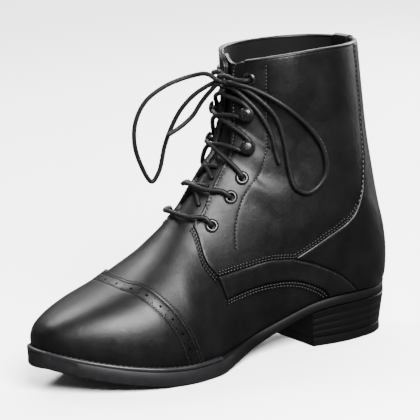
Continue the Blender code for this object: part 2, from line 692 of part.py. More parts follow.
def seat_spot(row, share, side, piece):
    """A spot on top of a made piece, square to the leather that a holder's flange covers."""
    point, out, up, normal = spot_at(row, share, side)
    mesh = piece.data
    tree = BVHTree.FromPolygons([v.co for v in mesh.vertices], [tuple(f.vertices) for f in mesh.polygons])
    turns = np.linspace(0, 2 * math.pi, 13)[:-1]
    around = [point + EYELET_RADIUS * (math.cos(t) * out + math.sin(t) * up) for t in turns]
    start = 2 * EYELET_RADIUS * normal
    ring = np.array([tree.ray_cast(Vector(p + start), -Vector(normal))[0] for p in around])
    square = np.cross(ring, np.roll(ring, -1, 0)).sum(0)
    square /= np.linalg.norm(square)
    square *= np.sign(np.dot(square, normal))
    middle = np.array(tree.ray_cast(Vector(point + start), -Vector(normal))[0])
    height = max(np.max((ring - middle) @ square), 0.0)
    out = out - square * np.dot(out, square)
    out /= np.linalg.norm(out)
    up = up - square * np.dot(up, square)
    up -= out * np.dot(up, out)
    up /= np.linalg.norm(up)
    return middle + height * square, out, up, square


def make_holders(upper, quarters, boot, cutters):
    """Eyelets through both layers of leather, and hooks on top of them."""
    depth = PANEL + GAP + WALL
    rim = GAP + EYELET_HEIGHT
    hole = [(0, -3 * depth), (EYELET_BARREL + GAP, -3 * depth), (EYELET_BARREL + GAP, depth), (0, depth)]
    ring = [(EYELET_BORE, -depth), (EYELET_BARREL, -depth), (EYELET_BARREL, GAP), (EYELET_RADIUS, GAP),
            (EYELET_RADIUS - 0.0006, rim - 0.0001), (EYELET_BORE + 0.0004, rim)]
    top = GAP + HOOK_BASE
    dome = top + LACE + 3 * GAP
    stud = [(0, GAP), (HOOK_RADIUS, GAP), (HOOK_RADIUS, top - 0.0002), (HOOK_NECK, top), (HOOK_NECK, dome),
            (HOOK_RADIUS, dome + 0.0002), (HOOK_RADIUS - 0.0003, dome + 0.0010),
            (HOOK_RADIUS * 0.6, dome + HOOK_DOME * 0.85), (0, dome + HOOK_DOME)]
    spots = {}
    for side, word in SIDES:
        for number, (row, share, kind) in enumerate(HOLDERS, 1):
            spots[side, number] = seat_spot(row, share, side, quarters[side])
        for number, (_, _, kind) in enumerate(HOLDERS, 1):
            spot = spots[side, number]
            if kind == "eyelet":
                cutter = revolve("hole_%s_%d" % (word, number), hole, spot, 12, cutters)
                modify(upper, "DIFFERENCE", cutter)
                modify(quarters[side], "DIFFERENCE", cutter)
                revolve("eyelet_%s_%d" % (word, number), ring, spot, 10, boot)
            else:
                revolve("hook_%s_%d" % (word, number), stud, spot, 10, boot)
    return spots


def over_ridge(row, side, share, lift):
    """A point near the ridge; a share of the upper's height round from it."""
    return surface(row, share * UPPER_HEIGHT, side, lift)[0]


def from_bore(spot, up):
    """The lace coming up out of an eyelet and bending towards the ridge, 'up' metres further up the rows."""
    clear = 2 * GAP + EYELET_HEIGHT + LACE / 2
    return [off(spot, 0, 0, -WALL), off(spot, 0, 0, EYELET_HEIGHT), off(spot, -0.0005, up * 0.2, clear - 0.0004),
            off(spot, -0.0025, up * 0.5, clear + 0.0003), off(spot, -0.0060, up, clear + 0.0003)]


def round_hook(spot):
    """The lace passing under a hook's dome, round the far side of its neck and back."""
    away = HOOK_NECK + LACE / 2 + 2 * GAP
    lift = GAP + HOOK_BASE + LACE / 2 + 1.5 * GAP
    turn = [(-1.6, -1.35), (0.0, -1.0), (0.75, -0.72), (1.04, 0.0), (0.75, 0.72), (0.0, 1.0), (-1.6, 1.35)]
    return [off(spot, out * away, up * away, lift) for out, up in turn]


def make_laces(spots, boot):
    """Two bars over the throat, the crosses under them, the crossed run up the hooks, and the bow."""
    flap = PANEL + GAP
    high = flap + 2 * GAP + EYELET_HEIGHT + LACE
    low = LACE / 2 - WALL - TONGUE_PLAY + GAP
    for number in (1, 2):
        row = HOLDERS[number - 1][0]
        half = from_bore(spots[1, number], -0.0005)
        other = from_bore(spots[-1, number], -0.0005)
        middle = [over_ridge(row - 0.04, 1, 0.050, high), over_ridge(row - 0.06, 1, 0.0, high + 0.0008),
                  over_ridge(row - 0.04, -1, 0.050, high)]
        tube("lace_bar_%d" % number, half + middle + other[::-1], LACE_STEP, boot)
    for number, (start, end, wide, narrow) in enumerate(((9.55, 10.30, 0.075, 0.064), (10.75, 11.40, 0.060, 0.048)), 1):
        strands = []
        for side in (1, -1):
            points = [over_ridge(start, side, wide, low), over_ridge((start + end) / 2, 1, 0.0, low),
                      over_ridge(end, -side, narrow, low)]
            strands.append(tube("lace_cross_%d" % number, points, LACE_STEP, boot))
        join(strands)
    strands = []
    for side in (1, -1):
        points = from_bore(spots[side, 3], 0.0012) + [over_ridge(12.30, 1, 0.0, high)]
        points += round_hook(spots[-side, 4]) + [over_ridge(14.40, 1, 0.0, high)]
        points += round_hook(spots[side, 5]) + [over_ridge(16.80, 1, 0.0, high - 0.0010)]
        points += [over_ridge(17.45, -side, 0.017, 0.0012)]
        strands.append(tube("lace_front", points, LACE_STEP, boot))
    join(strands)
    make_bow(spots, boot)


def join(pieces):
    """Welds the others into the first piece."""
    for piece in pieces[1:]:
        modify(pieces[0], "UNION", piece)
        bpy.data.objects.remove(piece)


def make_bow(spots, boot):
    """The knot with its two roots, two loops and two ends."""
    centre = over_ridge(KNOT_ROW, 1, 0.006, PANEL + 2 * GAP + KNOT_RADIUS * 0.9)
    shape = bmesh.new()
    bmesh.ops.create_uvsphere(shape, u_segments=10, v_segments=6, radius=KNOT_RADIUS)
    shape.transform(Matrix.Translation(Vector(centre)) @ Matrix.Diagonal((1.15, 0.9, 0.85, 1)))
    mesh = bpy.data.meshes.new("lace_knot")
    shape.to_mesh(mesh)
    shape.free()
    knot = bpy.data.objects.new("lace_knot", mesh)
    boot.objects.link(knot)
    roots = []
    for side in (1, -1):
        points = from_bore(spots[side, 6], -0.0014)
        points.append(centre + KNOT_RADIUS * np.array([side * 0.5, 0, 0.35]))
        roots.append(tube("root", points, LACE_STEP, boot))
    join([knot] + roots)
    lift = PANEL + 2 * GAP + LACE / 2 + GAP
    near = [over_ridge(row, 1, share, lift + rise) for row, share, rise in NEAR_LOOP]
    tube("lace_loop_near", near, LACE_STEP, boot)
    tube("lace_end_near", [over_ridge(row, 1, share, lift + rise) for row, share, rise in NEAR_END], LACE_STEP, boot)
    for name, table in (("lace_loop_far", FAR_LOOP), ("lace_end_far", FAR_END)):
        points = [centre + LOOP_SIZE * np.array([across, -toward, up]) for across, toward, up in table]
        tube(name, points, LACE_STEP, boot)


def filled(name, lift, collection):
    """A solid of the upper's outer form, lifted, and carried down below the sole."""
    points, normals, faces, _, edge = upper_form()
    shape = bmesh.new()
    corners = [shape.verts.new(p) for p in lifted(points, normals, edge, lift)]
    for face in faces:
        shape.faces.new([corners[k] for k in face])
    rims = [e for e in shape.edges if e.is_boundary]
    low = [e for e in rims if max(v.co.z for v in e.verts) < UPPER_HEIGHT * 0.6]
    high = [e for e in rims if e not in low]
    made = bmesh.ops.extrude_edge_only(shape, edges=low)["geom"]
    for v in (g for g in made if isinstance(g, bmesh.types.BMVert)):
        v.co.z -= HEEL_HEIGHT + TOE_SPRING
    foot = [g for g in made if isinstance(g, bmesh.types.BMEdge) and g.is_boundary]
    bmesh.ops.triangle_fill(shape, edges=foot)
    bmesh.ops.triangle_fill(shape, edges=high)
    bmesh.ops.recalc_face_normals(shape, faces=shape.faces)
    mesh = bpy.data.meshes.new(name)
    shape.to_mesh(mesh)
    shape.free()
    obj = bpy.data.objects.new(name, mesh)
    collection.objects.link(obj)
    return obj


def finish(piece):
    """Gives a piece its own material, from the last line of the table that its name starts with."""
    _, colour, roughness, metallic = [row for row in FINISHES if piece.name.startswith(row[0])][-1]
    material = bpy.data.materials.new(piece.name)
    material.use_nodes = True
    shader = material.node_tree.nodes["Principled BSDF"]
    shader.inputs["Base Color"].default_value = (*colour, 1.0)
    shader.inputs["Roughness"].default_value = roughness
    shader.inputs["Metallic"].default_value = metallic
    piece.data.materials.clear()
    piece.data.materials.append(material)


def main():
    for obj in list(bpy.data.objects):
        bpy.data.objects.remove(obj)
    boot = bpy.data.collections.new("paddock_boot")
    bpy.context.scene.collection.children.link(boot)
    cutters = bpy.data.collections.new("cutters")
    bpy.context.scene.collection.children.link(cutters)
    sole_parts(boot, cutters)
    upper, quarters = make_upper(boot, cutters)
    inner = -WALL - TONGUE_PLAY
    tongue = shell("tongue", inner - TONGUE_THICKNESS, inner, boot)
    keep = band("tongue_keep", TONGUE_FOOT, TONGUE_TOP, lambda row: TONGUE_WIDTH / 2,
                inner - 2 * TONGUE_THICKNESS, 0.0, cutters)
    modify(tongue, "INTERSECT", keep)
    spots = make_holders(upper, quarters, boot, cutters)
    make_laces(spots, boot)
    for piece in boot.objects:
        finish(piece)
    for cutter in cutters.objects:
        cutter.hide_render = True
        cutter.display_type = "WIRE"


main()
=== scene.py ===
"""A right paddock boot in smooth black leather: its finished look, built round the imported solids.

Metres, +Z up. The toe points to -Y, the inner side of the foot to +X, and the origin is the middle of the
heel's floor face. A "row" runs from the toe, 0, over vamp and instep to the collar, 21. A "distance" runs
round the upper from its ridge: it is positive on the inner side and negative on the outer.
"""

import math

import bmesh
import bpy
import numpy as np
from mathutils import Matrix, Vector
from mathutils.geometry import delaunay_2d_cdt


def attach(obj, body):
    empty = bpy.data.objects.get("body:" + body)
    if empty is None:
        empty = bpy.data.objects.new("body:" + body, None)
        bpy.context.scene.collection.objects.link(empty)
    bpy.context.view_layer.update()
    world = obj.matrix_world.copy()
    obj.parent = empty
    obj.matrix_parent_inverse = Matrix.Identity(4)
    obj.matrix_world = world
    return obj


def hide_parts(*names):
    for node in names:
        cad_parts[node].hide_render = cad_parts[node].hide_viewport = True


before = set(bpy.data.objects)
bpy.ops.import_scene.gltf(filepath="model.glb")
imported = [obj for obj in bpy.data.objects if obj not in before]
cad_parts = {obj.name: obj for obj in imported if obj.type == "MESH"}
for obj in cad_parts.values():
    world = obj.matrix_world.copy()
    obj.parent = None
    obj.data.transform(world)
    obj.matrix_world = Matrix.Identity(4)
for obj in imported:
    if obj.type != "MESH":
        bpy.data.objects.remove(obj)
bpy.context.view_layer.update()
MM = 0.001

# Studio
# Pale seamless paper, softboxes on both sides and behind, a strip by the heel and a light for the paper.
# The camera looks along the boot's inner side, a little from above, and its frame is drawn in to one boot.
VIEW_AZIMUTH = math.radians(59.53)
VIEW_ELEVATION = math.radians(12.78)
VIEW_ROLL = math.radians(-2.95)
VIEW_DISTANCE = 1.3695
VIEW_TARGET = np.array([0.0, -0.09, 0.08])
VIEW_LENS = 178.0
VIEW_SHIFT = (-0.0215, 0.0645)
PAPER_SIZE = 14.0


def linear(hex_colour):
    """An sRGB hex value as linear red, green, blue and alpha."""
    parts = [int(hex_colour[k:k + 2], 16) / 255 for k in (1, 3, 5)]
    return [c / 12.92 if c <= 0.04045 else ((c + 0.055) / 1.055) ** 2.4 for c in parts] + [1.0]


def add(tree, kind, values=None, links=None, stops=(), **settings):
    """Adds a shader node, sets its settings, socket values and colour stops, and links its inputs."""
    made = tree.nodes.new(kind)
    for key, value in settings.items():
        setattr(made, key, value)
    for key, value in (values or {}).items():
        made.inputs[key].default_value = value
    for key, source in (links or {}).items():
        tree.links.new(source, made.inputs[key])
    for k, (position, colour) in enumerate(stops):
        made.color_ramp.elements[k].position = position
        made.color_ramp.elements[k].color = linear(colour)
    return made


def new_material(name):
    """An empty material, ready for a shader and its output."""
    material = bpy.data.materials.new(name)
    material.use_nodes = True
    material.node_tree.nodes.clear()
    return material, material.node_tree


def close(tree, shader):
    """Ends a material with its shader."""
    add(tree, "ShaderNodeOutputMaterial", links={"Surface": shader.outputs[0]})


def seamless_paper():
    """Matt white background paper. Its faint fibre gives the floor a soft, even tone."""
    material, tree = new_material("seamless_paper")
    place = add(tree, "ShaderNodeTexCoord").outputs["Object"]
    fibre = add(tree, "ShaderNodeTexNoise", {"Scale": 1 / (3 * MM), "Detail": 3.0}, {"Vector": place})
    tone = add(tree, "ShaderNodeValToRGB", links={"Fac": fibre.outputs["Fac"]},
               stops=[(0.0, "#e6e6e5"), (1.0, "#ececeb")])
    bump = add(tree, "ShaderNodeBump", {"Strength": 0.15, "Distance": 0.05 * MM},
               {"Height": fibre.outputs["Fac"]})
    shader = add(tree, "ShaderNodeBsdfPrincipled", {"Roughness": 0.85, "Specular IOR Level": 0.2},
                 {"Base Color": tone.outputs["Color"], "Normal": bump.outputs["Normal"]})
    close(tree, shader)
    return material


level = math.cos(VIEW_ELEVATION)
back = np.array([math.sin(VIEW_AZIMUTH) * level, -math.cos(VIEW_AZIMUTH) * level, math.sin(VIEW_ELEVATION)])
level_right = np.array([math.cos(VIEW_AZIMUTH), math.sin(VIEW_AZIMUTH), 0.0])
level_up = np.cross(back, level_right)
right = math.cos(VIEW_ROLL) * level_right + math.sin(VIEW_ROLL) * level_up
up = math.cos(VIEW_ROLL) * level_up - math.sin(VIEW_ROLL) * level_right
camera_data = bpy.data.cameras.new("camera")
camera_data.lens = VIEW_LENS
camera_data.shift_x, camera_data.shift_y = VIEW_SHIFT
camera = bpy.data.objects.new("camera", camera_data)
axes = Matrix([list(right), list(up), list(back)]).transposed().to_4x4()
camera.matrix_world = Matrix.Translation(Vector(VIEW_TARGET + VIEW_DISTANCE * back)) @ axes
bpy.context.scene.collection.objects.link(camera)
bpy.context.scene.camera = camera

paper_shape = bmesh.new()
bmesh.ops.create_grid(paper_shape, x_segments=4, y_segments=4, size=PAPER_SIZE / 2)
paper_mesh = bpy.data.meshes.new("paper")
paper_shape.to_mesh(paper_mesh)
paper_shape.free()
paper = bpy.data.objects.new("paper", paper_mesh)
paper_mesh.materials.append(seamless_paper())
bpy.context.scene.collection.objects.link(paper)
# The paper is hidden from glossy rays, so the leather's shine does not show it
paper.visible_glossy = False

LIGHTS = [
    # name, place, what it is aimed at, size across and along, power in watts
    ("softbox_inner", (1.22, -0.36, 1.08), VIEW_TARGET, (0.92, 0.74), 235.0),
    ("softbox_outer", (-0.98, -0.42, 1.38), VIEW_TARGET, (0.55, 0.55), 42.0),
    ("softbox_paper", (-2.30, 1.40, 2.40), (-2.0, 1.2, 0.0), (1.60, 1.60), 230.0),
    ("softbox_back", (-0.55, 1.30, 0.80), (0.0, -0.02, 0.10), (0.70, 0.50), 55.0),
    ("strip_heel", (-0.05, 1.25, 0.22), VIEW_TARGET, (0.16, 0.40), 5.0),
]
for name, spot, aim, size, power in LIGHTS:
    lamp = bpy.data.lights.new(name, "AREA")
    lamp.shape = "RECTANGLE"
    lamp.size, lamp.size_y = size
    lamp.energy = power
    holder = bpy.data.objects.new(name, lamp)
    holder.location = spot
    holder.rotation_euler = (Vector(aim) - Vector(spot)).to_track_quat("-Z", "Y").to_euler()
    bpy.context.scene.collection.objects.link(holder)
world = bpy.data.worlds.new("studio")
world.use_nodes = True
world.node_tree.nodes["Background"].inputs["Color"].default_value = linear("#f4f5f6")
world.node_tree.nodes["Background"].inputs["Strength"].default_value = 0.24
bpy.context.scene.world = world

# Vamp and shaft
# The upper is one skin of box calf, 1.6 mm thick, drawn over the last and lasted under the foot. It is open
# at the collar and down the throat, and a thin dark lining covers its inside.
LAST_LENGTH = 0.258
BALL_WIDTH = 0.088
UPPER_HEIGHT = 0.167
HEEL_HEIGHT = 0.027
HEEL_LENGTH = 0.064
TOE_SPRING = 0.018
SOLE_HEEL = 0.0068
SOLE_FORE = 0.0100
BALL_BACK = 0.60
BALL_FRONT = 0.66
SEAT_FRONT = 0.18
WALL = 0.0016
GAP = 0.0003
BACK_ROW = 14
COLLAR_ROW = 21
OUTLINE = [
    # along, middle across, half across
    (0.00, 0.000, 0.000),
    (0.03, 0.000, 0.210),
    (0.09, 0.000, 0.307),
    (0.18, 0.000, 0.341),
    (0.30, -0.020, 0.327),
    (0.42, -0.045, 0.330),
    (0.52, -0.034, 0.393),
    (0.60, -0.008, 0.460),
    (0.67, 0.000, 0.489),
    (0.74, -0.009, 0.486),
    (0.81, -0.020, 0.446),
    (0.88, -0.023, 0.364),
    (0.95, -0.028, 0.233),
    (1.00, -0.030, 0.000),
]
SECTIONS = [
    # low along, low up, top along, rise, half wide, widest at, crown, base, ridge across
    (1.000, 0.000, 1.000, 0.000, 0.000, 0.25, 2.4, 2.0, -0.030),
    (0.994, 0.000, 0.997, 0.056, 0.098, 0.25, 2.4, 2.0, -0.030),
    (0.977, 0.000, 0.982, 0.097, 0.185, 0.25, 2.5, 2.0, -0.028),
    (0.942, 0.000, 0.945, 0.151, 0.280, 0.24, 2.5, 2.0, -0.025),
    (0.884, 0.000, 0.882, 0.218, 0.385, 0.22, 2.5, 2.0, -0.020),
    (0.814, 0.000, 0.802, 0.290, 0.468, 0.21, 2.3, 2.0, -0.010),
    (0.736, 0.000, 0.730, 0.374, 0.508, 0.21, 2.1, 2.0, 0.000),
    (0.659, 0.000, 0.671, 0.445, 0.505, 0.21, 1.9, 2.0, 0.010),
    (0.581, 0.000, 0.620, 0.513, 0.460, 0.22, 1.8, 2.0, 0.015),
    (0.496, 0.000, 0.572, 0.572, 0.408, 0.25, 1.75, 2.0, 0.018),
    (0.388, 0.000, 0.531, 0.602, 0.375, 0.35, 1.8, 2.0, 0.016),
    (0.264, 0.000, 0.498, 0.597, 0.375, 0.42, 1.85, 2.0, 0.012),
    (0.147, 0.000, 0.470, 0.620, 0.392, 0.45, 1.9, 2.1, 0.006),
    (0.054, 0.000, 0.452, 0.685, 0.398, 0.45, 2.0, 2.2, 0.000),
    (0.000, 0.000, 0.440, 0.740, 0.402, 0.45, 2.0, 2.2, 0.000),
    (-0.010, 0.085, 0.434, 0.692, 0.405, 0.46, 2.0, 2.2, 0.000),
    (-0.004, 0.190, 0.429, 0.624, 0.408, 0.46, 2.0, 2.2, 0.000),
    (0.014, 0.320, 0.425, 0.531, 0.412, 0.47, 2.0, 2.2, 0.000),
    (0.030, 0.460, 0.422, 0.428, 0.418, 0.47, 2.1, 2.2, 0.000),
    (0.046, 0.626, 0.420, 0.299, 0.424, 0.48, 2.1, 2.2, 0.000),
    (0.057, 0.815, 0.418, 0.148, 0.430, 0.48, 2.1, 2.2, 0.000),
    (0.066, 1.000, 0.417, 0.000, 0.432, 0.48, 2.1, 2.2, 0.000),
]
THROAT = [
    # row, half width as a share of the upper's height
    (8.55, 0.000),
    (8.65, 0.050),
    (8.90, 0.100),
    (9.20, 0.108),
    (9.8, 0.095),
    (10.9, 0.077),
    (12.6, 0.064),
    (14.8, 0.040),
    (17.0, 0.029),
    (20.0, 0.027),
    (20.5, 0.034),
    (20.8, 0.048),
    (21.0, 0.078),
]
CREASES = [
    # row and distance in mm where it starts, row and distance where it ends, height in mm, half width in mm
    (12.4, 36, 13.4, 58, -0.8, 6.0),
    (11.7, 38, 12.4, 60, 0.7, 6.0),
    (11.0, 42, 11.3, 60, -0.5, 5.5),
    (14.2, 34, 15.2, 52, 0.5, 6.0),
    (13.6, 31, 20.2, 29, -0.5, 4.5),
    (15.5, 66, 20.5, 63, -1.0, 10.0),
    (16.0, 46, 20.5, 44, 0.6, 8.0),
    (7.65, -10, 7.85, 26, -0.12, 3.0),
    (8.05, 24, 8.30, 42, -0.12, 3.0),
    (12.5, -36, 13.1, -60, -0.8, 6.0),
    (11.8, -38, 12.1, -62, 0.6, 6.0),
    (15.8, -62, 20.6, -64, -0.9, 10.0),
    (7.90, -20, 8.20, -44, -0.14, 3.2),
]
# The collar's edge is cut lower at the front, and less far round on the outer side
FRONT_DIP = 0.0058
DIP_REACH = 0.040
OUTER_DIP = 0.3
DIP_ROW = 17.5
# The form is eased over these grid rows round the heel, where the sections turn into the level ones
EASED_ROWS = 36
EASING = np.hanning(53)[:, None, None]


def steady_slopes(xs, ys):
    """Slopes at the points of a table that never overshoot it."""
    secants = np.diff(ys) / np.diff(xs)
    slopes = np.zeros(len(ys))
    before, after = secants[:-1], secants[1:]
    same = before * after > 0
    slopes[1:-1][same] = 2 * before[same] * after[same] / (before[same] + after[same])
    slopes[0], slopes[-1] = secants[0], secants[-1]
    return slopes


def smooth(xs, ys, x):
    """A smooth curve through the points (xs, ys), read at x."""
    xs, ys = np.asarray(xs, float), np.asarray(ys, float)
    slopes = steady_slopes(xs, ys)
    x = np.clip(x, xs[0], xs[-1])
    i = np.clip(np.searchsorted(xs, x) - 1, 0, len(xs) - 2)
    span = xs[i + 1] - xs[i]
    t = (x - xs[i]) / span
    ends = (2 * t**3 - 3 * t**2 + 1) * ys[i] + (3 * t**2 - 2 * t**3) * ys[i + 1]
    return ends + span * ((t**3 - 2 * t**2 + t) * slopes[i] + (t**3 - t**2) * slopes[i + 1])


def turn_of(along):
    """A share of the length as an angle, so that a table read at it has round ends."""
    return np.arccos(1 - 2 * np.clip(along, 0, 1))


def outline_at(along):
    """Middle and half width of the upper's lower edge."""
    turns = turn_of(np.array([row[0] for row in OUTLINE]))
    middle = smooth(turns, [row[1] for row in OUTLINE], turn_of(along))
    half = smooth(turns, [row[2] for row in OUTLINE], turn_of(along))
    return middle * BALL_WIDTH, half * BALL_WIDTH


def ease(x):
    """A share from 0 to 1 that starts and ends level."""
    x = np.clip(x, 0, 1)
    return x * x * (3 - 2 * x)


def tread(along):
    """Height of the sole's underside."""
    arch = HEEL_HEIGHT * ease((BALL_BACK - along) / (BALL_BACK - SEAT_FRONT))
    toe = TOE_SPRING * np.clip((along - BALL_FRONT) / (1 - BALL_FRONT), 0, 1) ** 1.7
    return arch + toe


def feather(along):
    """Height of the upper's lower edge."""
    along = np.clip(along, 0, 1)
    return tread(along) + SOLE_HEEL + (SOLE_FORE - SOLE_HEEL) * ease((along - 0.30) / 0.28) + GAP


def place(across, along, height):
    """World coordinates of points across and up in metres, and along as a share of the last's length."""
    return np.stack(np.broadcast_arrays(across, HEEL_LENGTH / 2 - along * LAST_LENGTH, height), -1)


def section_at(row):
    """Low and top points of a section in (along, up), and the shape between."""
    rows = np.arange(len(SECTIONS))
    columns = [smooth(rows, column, row) for column in zip(*SECTIONS)]
    low_along, low_up, top_along, rise, wide, at, crown, base, ridge = (float(c) for c in columns)
    if row < BACK_ROW:
        turns = turn_of(np.array([section[0] for section in SECTIONS[: BACK_ROW + 1]]))
        low_along = float((1 - np.cos(smooth(rows[: BACK_ROW + 1], turns, row))) / 2)
    low = (low_along, float(feather(low_along)) + low_up * UPPER_HEIGHT)
    top = (top_along, low[1] + rise * UPPER_HEIGHT)
    middle, foot = (float(x) for x in outline_at(low_along)) if row < BACK_ROW else (0.0, 0.0)
    wide = max(wide * BALL_WIDTH, foot * 1.01)
    return low, top, (wide, at, crown, base, ridge * BALL_WIDTH, middle, foot)


def half_arc(row):
    """One half of a section from ridge to edge: shares of the chord, half widths and arc lengths."""
    low, top, (wide, at, crown, base, _, _, foot) = section_at(row)
    turn = np.linspace(0, math.pi / 2, 90)
    upper = at + (1 - at) * np.cos(turn) ** (2 / crown), wide * np.sin(turn) ** (2 / crown)
    turn = turn[::-1][1:]
    lower = at - at * np.cos(turn) ** (2 / base), foot + (wide - foot) * np.sin(turn) ** (2 / base)
    chord = math.hypot((top[0] - low[0]) * LAST_LENGTH, top[1] - low[1])
    share = np.concatenate([upper[0], lower[0]])
    half = np.concatenate([upper[1], lower[1]])
    steps = np.hypot(np.diff(share) * chord, np.diff(half))
    return share, half, np.concatenate([[0], np.cumsum(steps)])


def section_points(row, across):
    """World points of a section, from -1 at the outer edge over 0 at the ridge to 1 at the inner edge."""
    past = max(row - COLLAR_ROW, 0.0) * (SECTIONS[-1][1] - SECTIONS[-2][1]) * UPPER_HEIGHT
    low, top, (_, _, _, _, ridge, middle, _) = section_at(min(row, COLLAR_ROW))
    share, half, arc = half_arc(min(row, COLLAR_ROW))
    at = np.abs(across) * arc[-1]
    t, w = np.interp(at, arc, share), np.interp(at, arc, half)
    x = middle + (ridge - middle) * t + np.sign(across) * w
    return place(x, low[0] + t * (top[0] - low[0]), low[1] + t * (top[1] - low[1]) + past)


def unit(vectors):
    """Vectors made one long."""
    return vectors / np.maximum(np.linalg.norm(vectors, axis=-1, keepdims=True), 1e-12)


GRID_ROWS = np.linspace(0, COLLAR_ROW + 1, 441)
GRID_ACROSS = np.linspace(-1, 1, 161)
GRID = np.array([section_points(row, GRID_ACROSS) for row in GRID_ROWS])
heel_turn = np.searchsorted(GRID_ROWS, BACK_ROW)
eased = GRID.copy()
for k in range(heel_turn - EASED_ROWS, heel_turn + EASED_ROWS + 1):
    half_window = len(EASING) // 2
    eased[k] = (GRID[k - half_window:k + half_window + 1] * EASING).sum(0) / EASING.sum()
eased[:, [0, -1]] = GRID[:, [0, -1]]
fade = np.clip(1 - np.abs(np.arange(len(GRID_ROWS)) - heel_turn) / EASED_ROWS, 0, 1)[:, None, None]
fade = ease(1.6 * fade) * ease((np.abs(GRID_ACROSS) - 0.35) / 0.25)[None, :, None]
fade = fade * ease((1 - np.abs(GRID_ACROSS)) / 0.035)[None, :, None]
GRID = GRID * (1 - fade) + eased * fade
GRID_ARC = np.array([half_arc(min(row, COLLAR_ROW))[2][-1] for row in GRID_ROWS])
GRID_NORMALS = unit(np.cross(np.gradient(GRID, axis=1), np.gradient(GRID, axis=0)))
GRID_NORMALS[0] = GRID_NORMALS[1]
seam_rows = GRID_ROWS >= BACK_ROW
GRID_NORMALS[seam_rows, 0] = GRID_NORMALS[seam_rows, -1] = unit(
    GRID_NORMALS[seam_rows, 0] + GRID_NORMALS[seam_rows, -1])
near_edge = np.clip((1 - np.abs(GRID_ACROSS)) / 0.07, 0, 1)[None, :]
up_the_back = ease((GRID_ROWS - BACK_ROW + 0.6) / 1.2)[:, None]
GRID_NORMALS[..., 2] *= near_edge * (1 - up_the_back) + up_the_back
GRID_NORMALS = unit(GRID_NORMALS)
half_round = [np.argmin(np.abs(GRID_ACROSS - share)) for share in (-0.5, 0.5)]
row_steps = np.linalg.norm(np.diff(GRID[:, half_round], axis=0), axis=2).mean(1)
GRID_FLAT = np.concatenate([[0], np.cumsum(row_steps)])


def grid_read(table, row, share):
    """A table over the grid, read between its points."""
    i = np.clip(row / GRID_ROWS[1], 0, len(GRID_ROWS) - 1.001)
    j = np.clip((share + 1) / (GRID_ACROSS[1] - GRID_ACROSS[0]), 0, len(GRID_ACROSS) - 1.001)
    a, b = i.astype(int), j.astype(int)
    s, t = (i - a)[:, None], (j - b)[:, None]
    first = table[a, b] * (1 - t) + table[a, b + 1] * t
    return first * (1 - s) + (table[a + 1, b] * (1 - t) + table[a + 1, b + 1] * t) * s


def arc_at(row):
    """How far it is round from the ridge to the edge."""
    return np.maximum(np.interp(row, GRID_ROWS, GRID_ARC), 1e-6)


def flat(row, distance):
    """Rows and distances laid out flat, in millimetres."""
    return np.stack([np.interp(row, GRID_ROWS, GRID_FLAT), np.asarray(distance, float)], -1) / MM


def unflat(points):
    """Rows and distances of points in the flat layout."""
    return np.interp(points[:, 0] * MM, GRID_FLAT, GRID_ROWS), points[:, 1] * MM


def to_edges(points, starts, ends):
    """How far points lie from the nearest of several straight edges, in two dimensions."""
    best = np.full(len(points), 1e9)
    for a, b in zip(starts, ends):
        d = b - a
        t = np.clip((points - a) @ d / max(d @ d, 1e-12), 0, 1)
        best = np.minimum(best, np.linalg.norm(points - a - t[:, None] * d, axis=1))
    return best


def to_line(points, line, closed=False):
    """How far points lie from a line of points."""
    if closed:
        return to_edges(points, line, np.roll(line, -1, 0))
    return to_edges(points, line[:-1], line[1:])


def relief(row, distance):
    """Height of the creases over the last's clean form."""
    points = flat(row, distance)
    height = np.zeros(len(points))
    for start_row, start, end_row, end, rise, width in CREASES:
        line = flat([start_row, end_row], [start * MM, end * MM])
        height += rise * MM * np.exp(-(to_line(points, line) / width) ** 2)
    calm = np.clip((arc_at(row) - np.abs(distance)) / (8 * MM), 0, 1)
    past_heel = ease(row - BACK_ROW)
    return height * (calm * (1 - past_heel) + past_heel)


def skin(row, distance, lift=0.0):
    """Points on the creased upper, lifted off it, and the normals there."""
    row, distance, lift = (np.ravel(a).astype(float) for a in np.broadcast_arrays(row, distance, lift))
    share = np.clip(distance / arc_at(row), -1, 1)
    normal = unit(grid_read(GRID_NORMALS, row, share))
    points = grid_read(GRID, row, share) + (lift + relief(row, distance))[:, None] * normal
    reach = np.where(distance > 0, DIP_REACH, OUTER_DIP * DIP_REACH)
    dip = FRONT_DIP * ease((row - DIP_ROW) / (COLLAR_ROW - DIP_ROW))
    points[:, 2] -= dip * np.exp(-(distance / reach) ** 2)
    return points, normal


def opening(row):
    """Half width of the throat, with round corners at the collar and a round foot."""
    rows, halves = zip(*THROAT)
    fine = np.linspace(0, COLLAR_ROW + 1, 881)
    return np.interp(row, fine, smooth(rows, np.array(halves) * UPPER_HEIGHT, fine))


def finished(name, points, faces, materials, face_slots=None):
    """A smooth-shaded object of a closed mesh, turned outwards."""
    mesh = bpy.data.meshes.new(name)
    mesh.from_pydata([tuple(p) for p in points], [], [tuple(int(i) for i in f) for f in faces])
    for material in materials:
        mesh.materials.append(material)
    if face_slots is not None:
        mesh.polygons.foreach_set("material_index", np.asarray(face_slots, np.int32))
    tidy = bmesh.new()
    tidy.from_mesh(mesh)
    bmesh.ops.remove_doubles(tidy, verts=tidy.verts, dist=0.004 * MM)
    bmesh.ops.dissolve_degenerate(tidy, edges=tidy.edges, dist=0.002 * MM)
    loose = [v for v in tidy.verts if not v.link_faces]
    bmesh.ops.delete(tidy, geom=loose, context="VERTS")
    bmesh.ops.recalc_face_normals(tidy, faces=tidy.faces)
    tidy.to_mesh(mesh)
    tidy.free()
    mesh.shade_smooth()
    mesh.set_sharp_from_angle(angle=math.radians(50))
    piece = bpy.data.objects.new(name, mesh)
    bpy.context.scene.collection.objects.link(piece)
    return piece


def settle(piece, slot, *nodes):
    """Fixes a piece to the boot in place of plain solids. The slot is not used."""
    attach(piece, "root")
    if nodes:
        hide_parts(*nodes)


